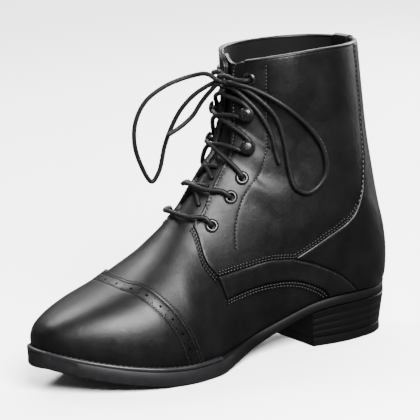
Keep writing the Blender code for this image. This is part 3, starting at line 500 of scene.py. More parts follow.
def thick(outer, inner, faces):
    """Outer and inner points joined to a closed wall. The outer faces come first, then the inner."""
    count = len(outer)
    seen = {}
    for face in faces:
        for a, b in zip(face, face[1:] + face[:1]):
            if a != b:
                seen.setdefault((min(a, b), max(a, b)), []).append((a, b))
    rims = [uses[0] for uses in seen.values() if len(uses) == 1]
    sides = [(b, a, a + count, b + count) for a, b in rims]
    inner_faces = [tuple(i + count for i in face[::-1]) for face in faces]
    return np.concatenate([outer, inner]), faces + inner_faces + sides, len(faces)


def welded(points, faces):
    """The same sheet with points at one place made one."""
    keys = {}
    lookup = []
    for p in np.round(points / (0.01 * MM)).astype(int):
        lookup.append(keys.setdefault(tuple(p), len(keys)))
    first = {}
    for old, new in enumerate(lookup):
        first.setdefault(new, old)
    kept = [first[k] for k in range(len(keys))]
    merged = [tuple(dict.fromkeys(lookup[i] for i in face)) for face in faces]
    return kept, [face for face in merged if len(face) > 2]


def box_calf(name, dark, pale, rough, polish):
    """Chrome-tanned calf, dyed through, plated smooth and waxed: a fine even grain under a soft shine that
    is broken where the leather bends. The grain is drawn at 0.8 mm, coarser than real, so that it shows."""
    material, tree = new_material(name)
    spot = add(tree, "ShaderNodeTexCoord").outputs["Object"]
    broad = add(tree, "ShaderNodeTexNoise", {"Scale": 1 / (22 * MM), "Detail": 3.0, "Roughness": 0.55},
                {"Vector": spot})
    grain = add(tree, "ShaderNodeTexVoronoi", {"Scale": 1 / (0.8 * MM), "Randomness": 0.95}, {"Vector": spot},
                feature="DISTANCE_TO_EDGE")
    pores = add(tree, "ShaderNodeTexNoise", {"Scale": 1 / (0.45 * MM), "Detail": 4.0, "Roughness": 0.7},
                {"Vector": spot})
    rub = add(tree, "ShaderNodeTexNoise",
              {"Scale": 1 / (7 * MM), "Detail": 6.0, "Roughness": 0.7, "Distortion": 0.6}, {"Vector": spot})
    tone = add(tree, "ShaderNodeValToRGB", links={"Fac": broad.outputs["Fac"]},
               stops=[(0.35, dark), (0.70, pale)])
    gloss = add(tree, "ShaderNodeMapRange",
                {"From Min": 0.35, "From Max": 0.70, "To Min": rough, "To Max": rough + 0.12},
                {"Value": rub.outputs["Fac"]})
    cells = add(tree, "ShaderNodeMapRange", {"From Min": 0.0, "From Max": 0.25, "To Min": 0.0, "To Max": 1.0},
                {"Value": grain.outputs["Distance"]})
    grained = add(tree, "ShaderNodeBump", {"Strength": 0.55, "Distance": 0.05 * MM},
                  {"Height": cells.outputs["Result"]})
    pitted = add(tree, "ShaderNodeBump", {"Strength": 0.40, "Distance": 0.06 * MM},
                 {"Height": pores.outputs["Fac"], "Normal": grained.outputs["Normal"]})
    waved = add(tree, "ShaderNodeBump", {"Strength": 0.45, "Distance": 0.5 * MM},
                {"Height": rub.outputs["Fac"], "Normal": pitted.outputs["Normal"]})
    shader = add(tree, "ShaderNodeBsdfPrincipled",
                 {"IOR": 1.48, "Specular IOR Level": 0.135, "Coat Weight": polish, "Coat Roughness": 0.28,
                  "Coat IOR": 1.35},
                 {"Base Color": tone.outputs["Color"], "Roughness": gloss.outputs["Result"],
                  "Normal": waved.outputs["Normal"]})
    close(tree, shader)
    return material


def pigskin_lining():
    """Split pigskin, suede side out: a dull dark lining with a short nap and scattered pores."""
    material, tree = new_material("pigskin_lining")
    spot = add(tree, "ShaderNodeTexCoord").outputs["Object"]
    nap = add(tree, "ShaderNodeTexNoise", {"Scale": 1 / (1.2 * MM), "Detail": 6.0, "Roughness": 0.75},
              {"Vector": spot})
    tone = add(tree, "ShaderNodeValToRGB", links={"Fac": nap.outputs["Fac"]},
               stops=[(0.0, "#020202"), (1.0, "#070707")])
    bump = add(tree, "ShaderNodeBump", {"Strength": 0.5, "Distance": 0.15 * MM},
               {"Height": nap.outputs["Fac"]})
    shader = add(tree, "ShaderNodeBsdfPrincipled",
                 {"Roughness": 0.80, "IOR": 1.45, "Specular IOR Level": 0.07, "Sheen Weight": 0.01,
                  "Sheen Roughness": 0.5},
                 {"Base Color": tone.outputs["Color"], "Normal": bump.outputs["Normal"]})
    close(tree, shader)
    return material


calf = box_calf("box_calf_waxed", "#020202", "#050505", 0.37, 0.05)
calf_polished = box_calf("box_calf_polished", "#020202", "#050505", 0.33, 0.08)
lining = pigskin_lining()


def ribbon(rows, columns):
    """A strip's faces, row by row."""
    return [(i * columns + j, i * columns + j + 1, (i + 1) * columns + j + 1, (i + 1) * columns + j)
            for i in range(rows - 1) for j in range(columns - 1)]


def joined(shapes):
    """Several shapes, each of points and faces, as one."""
    points, faces, base = [], [], 0
    for own_points, own_faces in shapes:
        points.append(own_points)
        faces += [tuple(i + base for i in face) for face in own_faces]
        base += len(own_points)
    return np.concatenate(points), faces


def upper_sheet(lift, columns=57):
    """The upper's skin as a grid on each side of the throat, with more rows at its foot and at the collar."""
    rows = np.concatenate([np.linspace(0, 8.4, 76), np.linspace(8.5, 9.3, 17), np.linspace(9.4, 20, 90),
                           np.linspace(20.1, COLLAR_ROW, 12)])
    shares = np.linspace(0, 1, columns)
    halves = []
    for side in (1, -1):
        points = [skin(row, side * (opening(row) + shares * (arc_at(row) - opening(row))), lift)[0]
                  for row in rows]
        halves.append((np.concatenate(points), [quad[::side] for quad in ribbon(len(rows), columns)]))
    return joined(halves)


outer, faces = upper_sheet(0.0)
inner, _ = upper_sheet(-WALL)
kept, faces = welded(outer, faces)
points, faces, outside = thick(outer[kept], inner[kept], faces)
slots = [0] * outside + [1] * outside + [0] * (len(faces) - 2 * outside)
upper = finished("upper_skin", points, faces, [calf, lining], slots)
settle(upper, "upper_leather", "upper")

# Toe cap
# A straight cap of the same calf, 1.3 mm, lapped over the vamp and polished. Two rows of stitching hold its
# back edge, one row lies in front of the punched band, and the band has a large hole between pairs of small.
PANEL = 0.0013
HEEL_SEAT = HEEL_HEIGHT + SOLE_HEEL + GAP
CAP_EDGE = [(0.776, 0.400), (0.774, 0.195), (0.749, 0.187), (0.723, 0.146), (0.673, 0.031), (0.617, -0.200)]
CAP_BAND = 7.4
CAP_HOLE_PITCH = 13.0
CAP_HOLE = 0.85
CAP_SMALL_HOLE = 0.45
CAP_PAIR = 1.35
CAP_HOLES_END = 0.93
FLOOR_OVERLAP = 1.12
EDGE_TURN = 0.8
EDGE_HEIGHT = 0.45
GROOVE_WIDTH = 0.6
STITCH_PITCH = 2.4
STITCH_LENGTH = 1.5
STITCH_FORM = [(-1.0, 0.35), (-0.7, 0.85), (0.0, 1.0), (0.7, 0.85), (1.0, 0.35)]
THREAD = 0.60
NEEDLE = 0.42
THREAD_SINK = 0.06 * MM


def smooth_path(points, spacing):
    """Points at even steps on a smooth curve through the given ones."""
    pts = np.array(points, float)
    knots = np.concatenate([[0], np.cumsum(np.linalg.norm(np.diff(pts, axis=0), axis=1) ** 0.5)])
    ends = np.vstack([2 * pts[0] - pts[1], pts, 2 * pts[-1] - pts[-2]])
    knots = np.concatenate([[2 * knots[0] - knots[1]], knots, [2 * knots[-1] - knots[-2]]])
    fine = np.linspace(knots[1], knots[-2], 40 * len(pts))
    i = np.clip(np.searchsorted(knots[1:-1], fine, side="right") - 1, 0, len(pts) - 2)
    t0, t1, t2, t3 = (knots[i + k] for k in range(4))
    p0, p1, p2, p3 = (ends[i + k] for k in range(4))

    def mix(a, b, ta, tb):
        return a + (b - a) * ((fine - ta) / (tb - ta))[:, None]

    a1, a2, a3 = mix(p0, p1, t0, t1), mix(p1, p2, t1, t2), mix(p2, p3, t2, t3)
    curve = mix(mix(a1, a2, t0, t2), mix(a2, a3, t1, t3), t1, t2)
    return evenly(curve, spacing)


def evenly(line, spacing):
    """A line of points read again at even steps."""
    lengths = np.concatenate([[0], np.cumsum(np.linalg.norm(np.diff(line, axis=0), axis=1))])
    at = np.linspace(0, lengths[-1], max(3, int(math.ceil(lengths[-1] / spacing)) + 1))
    return np.stack([np.interp(at, lengths, line[:, k]) for k in range(line.shape[1])], 1)


def locate(along, height, side):
    """Row and distance of points seen from the side at a share along and a height."""
    target = np.stack([HEEL_LENGTH / 2 - along * LAST_LENGTH, height], -1)
    half = slice(80, None) if side > 0 else slice(80, None, -1)
    seen = GRID[:, half, 1:]
    shares = GRID_ACROSS[half]
    row, share = np.zeros(len(target)), np.zeros(len(target))
    for k, goal in enumerate(target):
        i, j = np.unravel_index(np.argmin(((seen[5:] - goal) ** 2).sum(-1)), seen[5:].shape[:2])
        row[k], share[k] = GRID_ROWS[i + 5], shares[j]
    step = 0.02
    for _ in range(8):
        here = grid_read(GRID, row, share)[:, 1:]
        by_row = (grid_read(GRID, row + step, share)[:, 1:] - here) / step
        by_share = (here - grid_read(GRID, row, share - side * step)[:, 1:]) / (side * step)
        miss = target - here
        whole = by_row[:, 0] * by_share[:, 1] - by_row[:, 1] * by_share[:, 0]
        whole = np.where(np.abs(whole) < 1e-9, 1e-9, whole)
        row_change = (miss[:, 0] * by_share[:, 1] - miss[:, 1] * by_share[:, 0]) / whole
        share_change = (by_row[:, 0] * miss[:, 1] - by_row[:, 1] * miss[:, 0]) / whole
        row = np.clip(row + np.clip(row_change, -0.5, 0.5), 0.05, COLLAR_ROW + 0.9)
        share = side * np.clip(side * (share + np.clip(share_change, -0.06, 0.06)), 0, 1)
    return row, share * arc_at(row)


def seam(table, side):
    """A seam's rows and distances from its side view, cut off at the ridge, the lower edge and the collar."""
    drawn = smooth_path(np.array(table) * [LAST_LENGTH, UPPER_HEIGHT], 1.2 * MM)
    row, distance = locate(drawn[:, 0] / LAST_LENGTH, drawn[:, 1] + HEEL_SEAT, side)
    share = np.abs(distance) / arc_at(row)
    on = (share > 1e-3) & (share < 0.999) & (row < COLLAR_ROW)
    first, last = np.argmax(on), len(on) - 1 - np.argmax(on[::-1])
    first, last = max(first - 1, 0), min(last + 1, len(on) - 1)
    line = np.stack([np.minimum(row, COLLAR_ROW), distance], 1)[first:last + 1]
    if share[last] >= 0.999:
        line[-1, 1] = side * arc_at(line[-1, 0])
    return line


def edge_run(start, end, side, spacing=1.2):
    """The lower edge or back seam between two rows."""
    first, last = np.interp([start, end], GRID_ROWS, GRID_FLAT)
    rows = np.linspace(start, end, max(2, int(abs(last - first) / spacing / MM)))
    return np.stack([rows, side * arc_at(rows)], 1)


def to_left(line):
    """The way to the left of each point of a flat line."""
    run = unit(np.gradient(line, axis=0))
    return np.stack([-run[:, 1], run[:, 0]], 1)


def on_upper(laid):
    """Rows and distances of a flat line, kept on the upper."""
    row, distance = unflat(laid)
    limit = arc_at(row)
    return np.stack([row, np.clip(distance, -limit, limit)], 1)


def beside(line, off):
    """A line of rows and distances moved sideways in the flat layout, in mm, to its left if positive."""
    laid = flat(line[:, 0], line[:, 1])
    return on_upper(laid + off * to_left(laid))


def inside(points, ring):
    """Which points lie in a closed ring."""
    found = np.zeros(len(points), bool)
    for (x0, y0), (x1, y1) in zip(ring, np.roll(ring, -1, 0)):
        crosses = (y0 > points[:, 1]) != (y1 > points[:, 1])
        found ^= crosses & (points[:, 0] < (x1 - x0) * (points[:, 1] - y0) / ((y1 - y0) or 1e-12) + x0)
    return found


def disc_at(row, distance, radius, sides=12):
    """A round hole's ring in the flat layout."""
    middle = flat(row, distance)
    h = 0.3
    around = [middle, middle + [h, 0], middle + [0, h]]
    spots = skin(*unflat(np.array(around)))[0]
    stretch = np.stack([spots[1] - spots[0], spots[2] - spots[0]], 1) / (h * MM)
    shape = np.linalg.inv(np.linalg.cholesky(stretch.T @ stretch)).T
    turn = np.linspace(0, 2 * math.pi, sides + 1)[:-1]
    return middle + (shape @ (radius * np.stack([np.cos(turn), np.sin(turn)]))).T


def leather_piece(name, outlines, low, high, material, grooves=(), holes=(), cell=2.0, groove=0.30):
    """An overlay cut to its outlines: a closed sheet with a turned edge, pulled down along its stitching."""
    tops, lows, faces = [], [], []
    for outline in outlines:
        border = evenly_closed(flat(outline[:, 0], outline[:, 1]), 1.1)
        area = np.sum(border[:, 0] * np.roll(border[:, 1], -1) - np.roll(border[:, 0], -1) * border[:, 1])
        run = unit(np.roll(border, -1, 0) - np.roll(border, 1, 0))
        inward = np.stack([-run[:, 1], run[:, 0]], 1) * np.sign(area)
        lines = [flat(line[:, 0], line[:, 1]) for line in grooves]
        rings = [disc for disc in holes if inside(disc[:1], border)[0]]
        more = [border + off * inward for off in (0.35, 0.9)]
        more += [line + off * to_left(line) for line in lines for off in (-0.7, 0.0, 0.7)]
        low_corner, high_corner = border.min(0), border.max(0)
        across = np.arange(low_corner[0], high_corner[0], cell)
        upward = np.arange(low_corner[1], high_corner[1], cell * 0.87)
        mesh_x, mesh_y = np.meshgrid(across, upward)
        mesh_x = mesh_x + (np.arange(len(upward)) % 2)[:, None] * cell / 2
        net = np.stack([mesh_x.ravel(), mesh_y.ravel()], 1)
        extra = np.concatenate(more)
        free = np.concatenate([spots[inside(spots, border) & (to_line(spots, border, True) > room)]
                               for spots, room in ((extra, 0.3), (net, 1.5))])
        for ring in rings:
            free = free[(to_line(free, ring, True) > 0.25) & ~inside(free, ring)]
        corners = [border] + rings + [free]
        links = []
        start = 0
        for ring in [border] + rings:
            links += [(start + k, start + (k + 1) % len(ring)) for k in range(len(ring))]
            start += len(ring)
        made = delaunay_2d_cdt([Vector(p) for p in np.concatenate(corners)], links, [], 0, 1e-4)
        spots = np.array([tuple(p) for p in made[0]])
        cut = np.array([tuple(f) for f in made[2]])
        centres = spots[cut].mean(1)
        keep = inside(centres, border)
        for ring in rings:
            keep &= ~inside(centres, ring)
        border_row, border_distance = unflat(border)
        welded_on = (border_row > BACK_ROW - 0.05) & (np.abs(border_distance) > 0.998 * arc_at(border_row))
        open_edge = ~(welded_on & np.roll(welded_on, -1))
        depth = to_edges(spots, border[open_edge], np.roll(border, -1, 0)[open_edge])
        turned_edge = 1 - np.clip(1 - depth / EDGE_TURN, 0, 1) ** 2
        lift = low + (high - low) * (EDGE_HEIGHT + (1 - EDGE_HEIGHT) * turned_edge)
        for line in lines:
            lift -= groove * MM * np.exp(-(to_line(spots, line) / GROOVE_WIDTH) ** 2) * np.clip(depth, 0, 1)
        row, distance = unflat(spots)
        base = sum(len(t) for t in tops)
        tops.append(skin(row, distance, lift)[0])
        lows.append(skin(row, distance, low)[0])
        faces += [tuple(int(i) + base for i in f) for f in cut[keep]]
    tops, lows = np.concatenate(tops), np.concatenate(lows)
    kept, faces = welded(lows, faces)
    points, faces, _ = thick(tops[kept], lows[kept], faces)
    return finished(name, points, faces, [material])


def evenly_closed(ring, spacing):
    """A closed ring with points added so that none lie further apart than the spacing."""
    made = []
    for a, b in zip(ring, np.roll(ring, -1, 0)):
        long = np.linalg.norm(b - a)
        if long < 0.05:
            continue
        count = max(1, int(math.ceil(long / spacing)))
        made += [a + (b - a) * k / count for k in range(count)]
    return np.array(made)


def run_of(line, lift, spacing):
    """World points, headings and normals at even steps along a line of rows and distances."""
    fine = evenly(flat(line[:, 0], line[:, 1]), 0.4)
    row, distance = unflat(fine)
    world = evenly(skin(row, distance, lift)[0], spacing)
    along = unit(np.gradient(world, axis=0))
    nearest = np.linspace(0, len(row) - 1, len(world)).astype(int)
    normal = skin(row[nearest], distance[nearest])[1]
    return world, along, normal


def bank(sections, loop=False):
    """A bar through a list of equal rings of points, capped at its ends or closed round on itself."""
    count, rings = len(sections[0]), len(sections)
    faces = [] if loop else [tuple(range(count)), tuple(reversed(range((rings - 1) * count, rings * count)))]
    for k in range(rings if loop else rings - 1):
        after = (k + 1) % rings
        for i in range(count):
            j = (i + 1) % count
            faces.append((k * count + j, k * count + i, after * count + i, after * count + j))
    return np.concatenate(sections), faces


def stitch(middle, along, across, up_way, form, size):
    """One bar of thread that sinks into its holes. Its size is half length, half width, half height, sink."""
    half_length, half_width, half_height, sink = (value * MM for value in size)
    turn = np.linspace(0, 2 * math.pi, 7)[:-1]
    sections = []
    for at, wide in form:
        centre = middle + along * at * half_length - up_way * sink * abs(at)
        sections.append(np.array([centre + wide * (half_width * math.cos(angle) * across
                                                   + half_height * math.sin(angle) * up_way)
                                  for angle in turn]))
    return bank(sections)


def stitches(lines, lift, pitch, length, width):
    """Thread that shows between the needle holes, along each line."""
    made = []
    for line in lines:
        world, along, normal = run_of(line, lift, pitch * MM)
        for p, t, n in zip(world[:-1], along, normal):
            made.append(stitch(p + t * pitch * MM / 2, t, np.cross(t, n), n, STITCH_FORM,
                               (length / 2, width / 2, 0.42 * width, 0.28 * width)))
    return joined(made)


def needle_holes(lines, lift, pitch, radius):
    """Painted shade in the needle holes between the stitches, as small dark plugs."""
    turn = np.linspace(0, 2 * math.pi, 9)[:-1]
    made = []
    for line in lines:
        world, along, normal = run_of(line, lift, pitch * MM)
        for p, t, n in zip(world, along, normal):
            round_way = [radius * MM * (1.25 * math.cos(a) * t + math.sin(a) * np.cross(t, n)) for a in turn]
            made.append(bank([np.array([p + n * high * MM + size * way for way in round_way])
                              for high, size in ((-0.5, 1.0), (0.12, 1.0), (0.16, 0.7))]))
    return joined(made)


def bonded_thread():
    """Bonded black polyester thread, waxed: a tight twist that catches more light than the leather."""
    material, tree = new_material("bonded_thread")
    spot = add(tree, "ShaderNodeTexCoord").outputs["Object"]
    twist = add(tree, "ShaderNodeTexNoise", {"Scale": 1 / (0.3 * MM), "Detail": 2.0}, {"Vector": spot})
    tone = add(tree, "ShaderNodeValToRGB", links={"Fac": twist.outputs["Fac"]},
               stops=[(0.0, "#060607"), (1.0, "#1a1a1c")])
    bump = add(tree, "ShaderNodeBump", {"Strength": 0.5, "Distance": 0.05 * MM},
               {"Height": twist.outputs["Fac"]})
    shader = add(tree, "ShaderNodeBsdfPrincipled",
                 {"Roughness": 0.45, "IOR": 1.50, "Specular IOR Level": 0.30, "Sheen Weight": 0.02,
                  "Sheen Roughness": 0.4},
                 {"Base Color": tone.outputs["Color"], "Normal": bump.outputs["Normal"]})
    close(tree, shader)
    return material


def hole_shade_black():
    """Painted shade inside needle and punched holes: near-black, matt and faintly fibrous, for their shadow.
    """
    material, tree = new_material("hole_shade_black")
    spot = add(tree, "ShaderNodeTexCoord").outputs["Object"]
    fibre = add(tree, "ShaderNodeTexNoise", {"Scale": 1 / (0.4 * MM), "Detail": 3.0}, {"Vector": spot})
    tone = add(tree, "ShaderNodeValToRGB", links={"Fac": fibre.outputs["Fac"]},
               stops=[(0.0, "#000000"), (1.0, "#060606")])
    shader = add(tree, "ShaderNodeBsdfPrincipled", {"Roughness": 0.95, "Specular IOR Level": 0.02},
                 {"Base Color": tone.outputs["Color"]})
    close(tree, shader)
    return material


thread = bonded_thread()
painted_hole_shade = hole_shade_black()


def sew(name, lines, lift, pitch=STITCH_PITCH, length=STITCH_LENGTH, width=THREAD, needle=NEEDLE):
    """A piece of stitching on the leather, with painted shade in its needle holes."""
    points, faces = stitches(lines, lift, pitch, length, width)
    settle(finished(name, points, faces, [thread]), "upper_leather")
    # Dark plugs in the needle holes: painted shade
    points, faces = needle_holes(lines, lift - 0.10 * MM, pitch, needle)
    settle(finished(name + "_holes", points, faces, [painted_hole_shade]), "upper_leather")


def softened(line, reach):
    """A seam with its bends eased over a reach in millimetres."""
    laid = evenly(flat(line[:, 0], line[:, 1]), 0.5)
    count = int(reach / 0.5)
    weights = np.hanning(2 * count + 3)[1:-1]
    padded = np.concatenate([2 * laid[0] - laid[count:0:-1], laid, 2 * laid[-1] - laid[-2:-count - 2:-1]])
    weights /= weights.sum()
    return on_upper(np.stack([np.convolve(padded[:, k], weights, "valid") for k in (0, 1)], 1))


cap_edges = {side: seam(CAP_EDGE, side) for side in (1, -1)}
cap_line = softened(np.concatenate([cap_edges[-1][::-1], cap_edges[1][1:]]), 7.0)
cap_edges = {1: cap_line[cap_line[:, 1] > 0], -1: cap_line[cap_line[:, 1] < 0][::-1]}
cap_outline = np.concatenate([cap_edges[1], edge_run(cap_edges[1][-1, 0], 0.06, 1)[1:],
                              edge_run(0.06, cap_edges[-1][-1, 0], -1), cap_edges[-1][::-1][1:]])
cap_rows = [beside(cap_line, off) for off in (0.9, 2.6)]
cap_front = beside(cap_line, 1.2 + CAP_BAND)
cap_band = beside(cap_line, 1.7 + CAP_BAND / 2 + 0.6)
laid = evenly(flat(cap_band[:, 0], cap_band[:, 1]), CAP_HOLE_PITCH / 4)
middle_spot = int(np.argmin(np.abs(laid[:, 1])))
cap_holes = []
for k in range(len(laid)):
    row, distance = unflat(laid[k:k + 1])
    if abs(distance[0]) > CAP_HOLES_END * arc_at(row[0]):
        continue
    beat = (k - middle_spot) % 4
    if beat == 0:
        cap_holes.append(disc_at(row[0], distance[0], CAP_HOLE))
    elif beat == 2:
        spread = unit(laid[min(k + 1, len(laid) - 1)] - laid[k - 1])
        for way in (-1, 1):
            shifted = unflat((laid[k] + way * CAP_PAIR * np.array([-spread[1], spread[0]]))[None])
            cap_holes.append(disc_at(shifted[0][0], shifted[1][0], CAP_SMALL_HOLE, 8))
toe_cap = leather_piece("toe_cap_leather", [cap_outline], GAP, GAP + PANEL, calf_polished,
                        cap_rows + [cap_front], cap_holes, 1.8, 0.42)
settle(toe_cap, "upper_leather", "toe_cap")
# Near-black floors under the punched holes: painted shade for the shadowed leather inside them
hole_shade_floors = []
for ring in cap_holes:
    row, distance = unflat(ring.mean(0) + FLOOR_OVERLAP * (ring - ring.mean(0)))
    hole_shade_floors.append(bank([skin(row, distance, lift)[0] for lift in (GAP - 0.4 * MM, GAP + 0.15 * MM)]))
settle(finished("toe_cap_hole_shade", *joined(hole_shade_floors), [painted_hole_shade]), "upper_leather")
sew("toe_cap_stitching", cap_rows + [cap_front], GAP + PANEL - THREAD_SINK,
    pitch=1.8, length=1.0, width=0.42, needle=0.44)

# Laced quarters
# Two open fronts of the same calf with the shaft's sides in one, lapped over the vamp and over the skin. A
# single row of stitching runs by the open edge, and another behind the eyelets.
QUARTER_FRONT = [(0.640, 0.440), (0.589, 0.372), (0.583, 0.235), (0.558, 0.171), (0.540, 0.080)]
STRIP_TOP = [(0.558, 0.171), (0.475, 0.184), (0.407, 0.197), (0.331, 0.187)]
COUNTER_TOP = [(0.331, 0.187), (0.242, 0.248), (0.175, 0.295), (0.146, 0.331), (0.118, 0.420), (0.108, 0.520),
               (0.108, 0.720), (0.124, 1.100)]
HOLDERS = [
    # row, round from the ridge as a share of the upper's height, kind
    (9.25, 0.178, "eyelet"),
    (10.50, 0.172, "eyelet"),
    (11.50, 0.163, "eyelet"),
    (13.10, 0.138, "hook"),
    (15.70, 0.112, "hook"),
    (19.10, 0.114, "eyelet"),
]
EYELET_BARREL = 0.0027
EYESTAY_SEAM = [(20.6, 29.8), (17.0, 31.6), (12.9, 36.6), (11.8, 34.4), (10.6, 37.4), (10.0, 45.0),
                (9.7, 54.5)]
FACING_FOOT = 0.0182
SIDES = [(1, "medial"), (-1, "lateral")]


def drawn(line, side):
    """A smooth seam on one side of the boot, through rows and distances in mm."""
    rows, distances = np.array(line).T
    return np.stack(unflat(smooth_path(flat(rows, side * distances * MM), 1.2)), 1)


for side, word in SIDES:
    front = seam(QUARTER_FRONT[:-1], side)
    top = seam(STRIP_TOP, side)
    counter = seam(COUNTER_TOP, side)
    front = front[np.abs(front[:, 1]) > FACING_FOOT]
    foot_row = front[0, 0]
    throat_rows = np.concatenate([np.linspace(foot_row + 0.12, 9.3, 8), np.linspace(9.4, 20, 80),
                                  np.linspace(20.1, COLLAR_ROW, 14)])
    at_foot = FACING_FOOT - 0.2 * MM * (throat_rows - foot_row)
    facing = np.where(throat_rows < 9.4, at_foot, opening(throat_rows))
    throat = np.stack([throat_rows, side * facing], 1)
    front = front[np.abs(front[:, 1]) > FACING_FOOT + 1.4 * MM]
    across_collar = np.linspace(throat[-1, 1], counter[-1, 1], 60)[1:-1]
    collar = np.stack([np.full(58, float(COLLAR_ROW)), across_collar], 1)
    corner = np.array([[foot_row + 0.03, side * (FACING_FOOT + 0.4 * MM)]])
    outline = np.concatenate([corner, throat, collar, counter[::-1], top[::-1][1:], front[::-1][1:]])
    eyelets = [disc_at(row, side * share * UPPER_HEIGHT, EYELET_BARREL / MM + 0.1)
               for row, share, kind in HOLDERS if kind == "eyelet"]
    edge_rows = beside(throat[1:-3], 2.2 * side)
    front_rows = [beside(front, 1.3 * side), beside(front, 3.0 * side)]
    behind = drawn(EYESTAY_SEAM, side)
    rows_here = [edge_rows, behind] + front_rows
    rows_here = [row[(row[:, 0] > 7.2) & (np.abs(row[:, 1]) < 0.99 * arc_at(row[:, 0]))]
                 for row in rows_here]
    piece = leather_piece("quarter_%s_leather" % word, [outline], GAP, GAP + PANEL, calf, rows_here,
                          eyelets, 2.2)
    settle(piece, "upper_leather", "quarter_" + word)
    sew("quarter_%s_stitching" % word, rows_here, GAP + PANEL - THREAD_SINK)

# Side strips
# A raised strip of 1.7 mm calf low on each side, from the quarter's front corner under the counter to the
# sole. It joins quarter and vamp, and two rows of stitching run along both of its edges.
STRIP = 0.0017
STRIP_TAIL = [(0.331, 0.187), (0.269, 0.151), (0.185, 0.078), (0.120, -0.020)]
STRIP_LOW = [(0.540, 0.080), (0.468, 0.097), (0.402, 0.105), (0.347, 0.101), (0.296, 0.080), (0.238, 0.030),
             (0.215, -0.020)]
for side, word in SIDES:
    top = seam(STRIP_TOP, side)
    tail = seam(STRIP_TAIL, side)
    low = seam(STRIP_LOW, side)
    foot = edge_run(tail[-1, 0], low[-1, 0], side)
    front = evenly(np.array([low[0], top[0]]), 1.0 * MM)
    outline = np.concatenate([top, tail[1:], foot[1:-1], low[::-1], front[1:-1]])
    lines = [beside(line, off * way) for line, way in ((top, -side), (low, side)) for off in (1.0, 2.6)]
    lines = [line[np.abs(line[:, 1]) < 0.985 * arc_at(line[:, 0])] for line in lines]
    piece = leather_piece("side_strip_%s_leather" % word, [outline], GAP, GAP + STRIP, calf, lines, (), 2.0)
    settle(piece, "upper_leather", "side_strip_" + word)
    sew("side_strip_%s_stitching" % word, lines, GAP + STRIP - THREAD_SINK)

# Heel counter and back stay
# The counter cups the heel in 1.7 mm calf, polished like the cap, and rises at the back as a narrow stay to
# the collar. Two rows of stitching hold its long edge and one bold row the stay.
STAY_ROW = 15.6
TAB_HALF = 0.0085
halves = []
lines = []
for side in (1, -1):
    top = seam(COUNTER_TOP, side)
    tail = seam(STRIP_TAIL, side)
    back_seam = edge_run(COLLAR_ROW, BACK_ROW, side)
    foot = edge_run(BACK_ROW, tail[-1, 0], side)
    across_collar = np.linspace(top[-1, 1], side * float(arc_at(COLLAR_ROW)), 12)[1:]
    collar = np.stack([np.full(11, float(COLLAR_ROW)), across_collar], 1)
    halves.append(np.concatenate([top, collar, back_seam[1:], foot[1:], tail[::-1][1:-1]]))
    lines += [beside(top, off * -side) for off in (1.1, 2.8)] + [beside(tail, 1.1 * side)]
lines = [line[np.abs(line[:, 1]) < 0.985 * arc_at(line[:, 0])] for line in lines]
counter = leather_piece("heel_counter_leather", halves, GAP, GAP + STRIP, calf_polished, lines, (), 2.0)
settle(counter, "upper_leather", "heel_counter")
long_rows = [line[line[:, 0] < STAY_ROW] for line in lines]
stay_rows = [line[line[:, 0] >= STAY_ROW] for line in lines[::3]]
sew("heel_counter_stitching", long_rows, GAP + STRIP - THREAD_SINK)
sew("back_stay_stitching", stay_rows, GAP + STRIP - THREAD_SINK,
    pitch=3.3, length=2.0, width=0.80, needle=0.60)

# Top line
# The collar's raw edge is turned over a thin cord and stitched down, from one front corner round the back to
# the other. At the back the stay is folded over it as a small tab.
BINDING_HALF = 0.00185
BINDING_RISE = 0.0013


def binding(side):
    """The bound edge's rings on one side, from the throat's corner to the back seam."""
    start = float(opening(COLLAR_ROW)) + 0.3 * MM
    distances = np.linspace(start, float(arc_at(COLLAR_ROW)), 110)
    middle = skin(COLLAR_ROW, side * distances, (GAP + PANEL - WALL) / 2)[0]
    normal = skin(COLLAR_ROW, side * distances)[1]
    normal[:, 2] = 0
    normal = unit(normal)
    rings = []
    turn = np.linspace(0, 2 * math.pi, 13)[:-1]
    for k, (p, n) in enumerate(zip(middle, normal)):
        size = min(1.0, 0.25 + k / 4)
        rings.append(np.array([p + size * (BINDING_HALF * math.cos(a) * n
                                           + [0, 0, BINDING_RISE * math.sin(a)]) for a in turn]))
    return rings


bound_edge = bank(binding(1) + binding(-1)[::-1][1:])
settle(finished("top_line_binding", *bound_edge, [calf_polished]), "upper_leather")
tab_rings = []
for share in np.linspace(-1, 1, 15):
    side = 1 if share >= 0 else -1
    distance = side * (float(arc_at(COLLAR_ROW)) - abs(share) * TAB_HALF)
    outer_face = skin(COLLAR_ROW - 0.12, distance, GAP + STRIP)[0][0]
    top_face, normal = (a[0] for a in skin(COLLAR_ROW, distance, (GAP + PANEL - WALL) / 2))
    inner_face = skin(COLLAR_ROW - 0.30, distance, -WALL)[0][0]
    normal = unit(normal * [1, 1, 0])
    outside, within = 2.6 * MM, -2.5 * MM
    folded = [outer_face + 0.1 * MM * normal, top_face + outside * normal,
              top_face + 2.0 * MM * normal + [0, 0, 1.7 * MM], top_face + [0, 0, 2.4 * MM],
              top_face + within * normal + [0, 0, 1.6 * MM], top_face + (within - 0.6 * MM) * normal,
              inner_face - 1.1 * MM * normal, inner_face, top_face + (within + 0.6 * MM) * normal,
              top_face + [0, 0, 1.2 * MM], top_face + 1.4 * MM * normal, outer_face]
    tab_rings.append(np.array(folded))
settle(finished("back_stay_tab", *bank(tab_rings), [calf_polished]), "upper_leather")

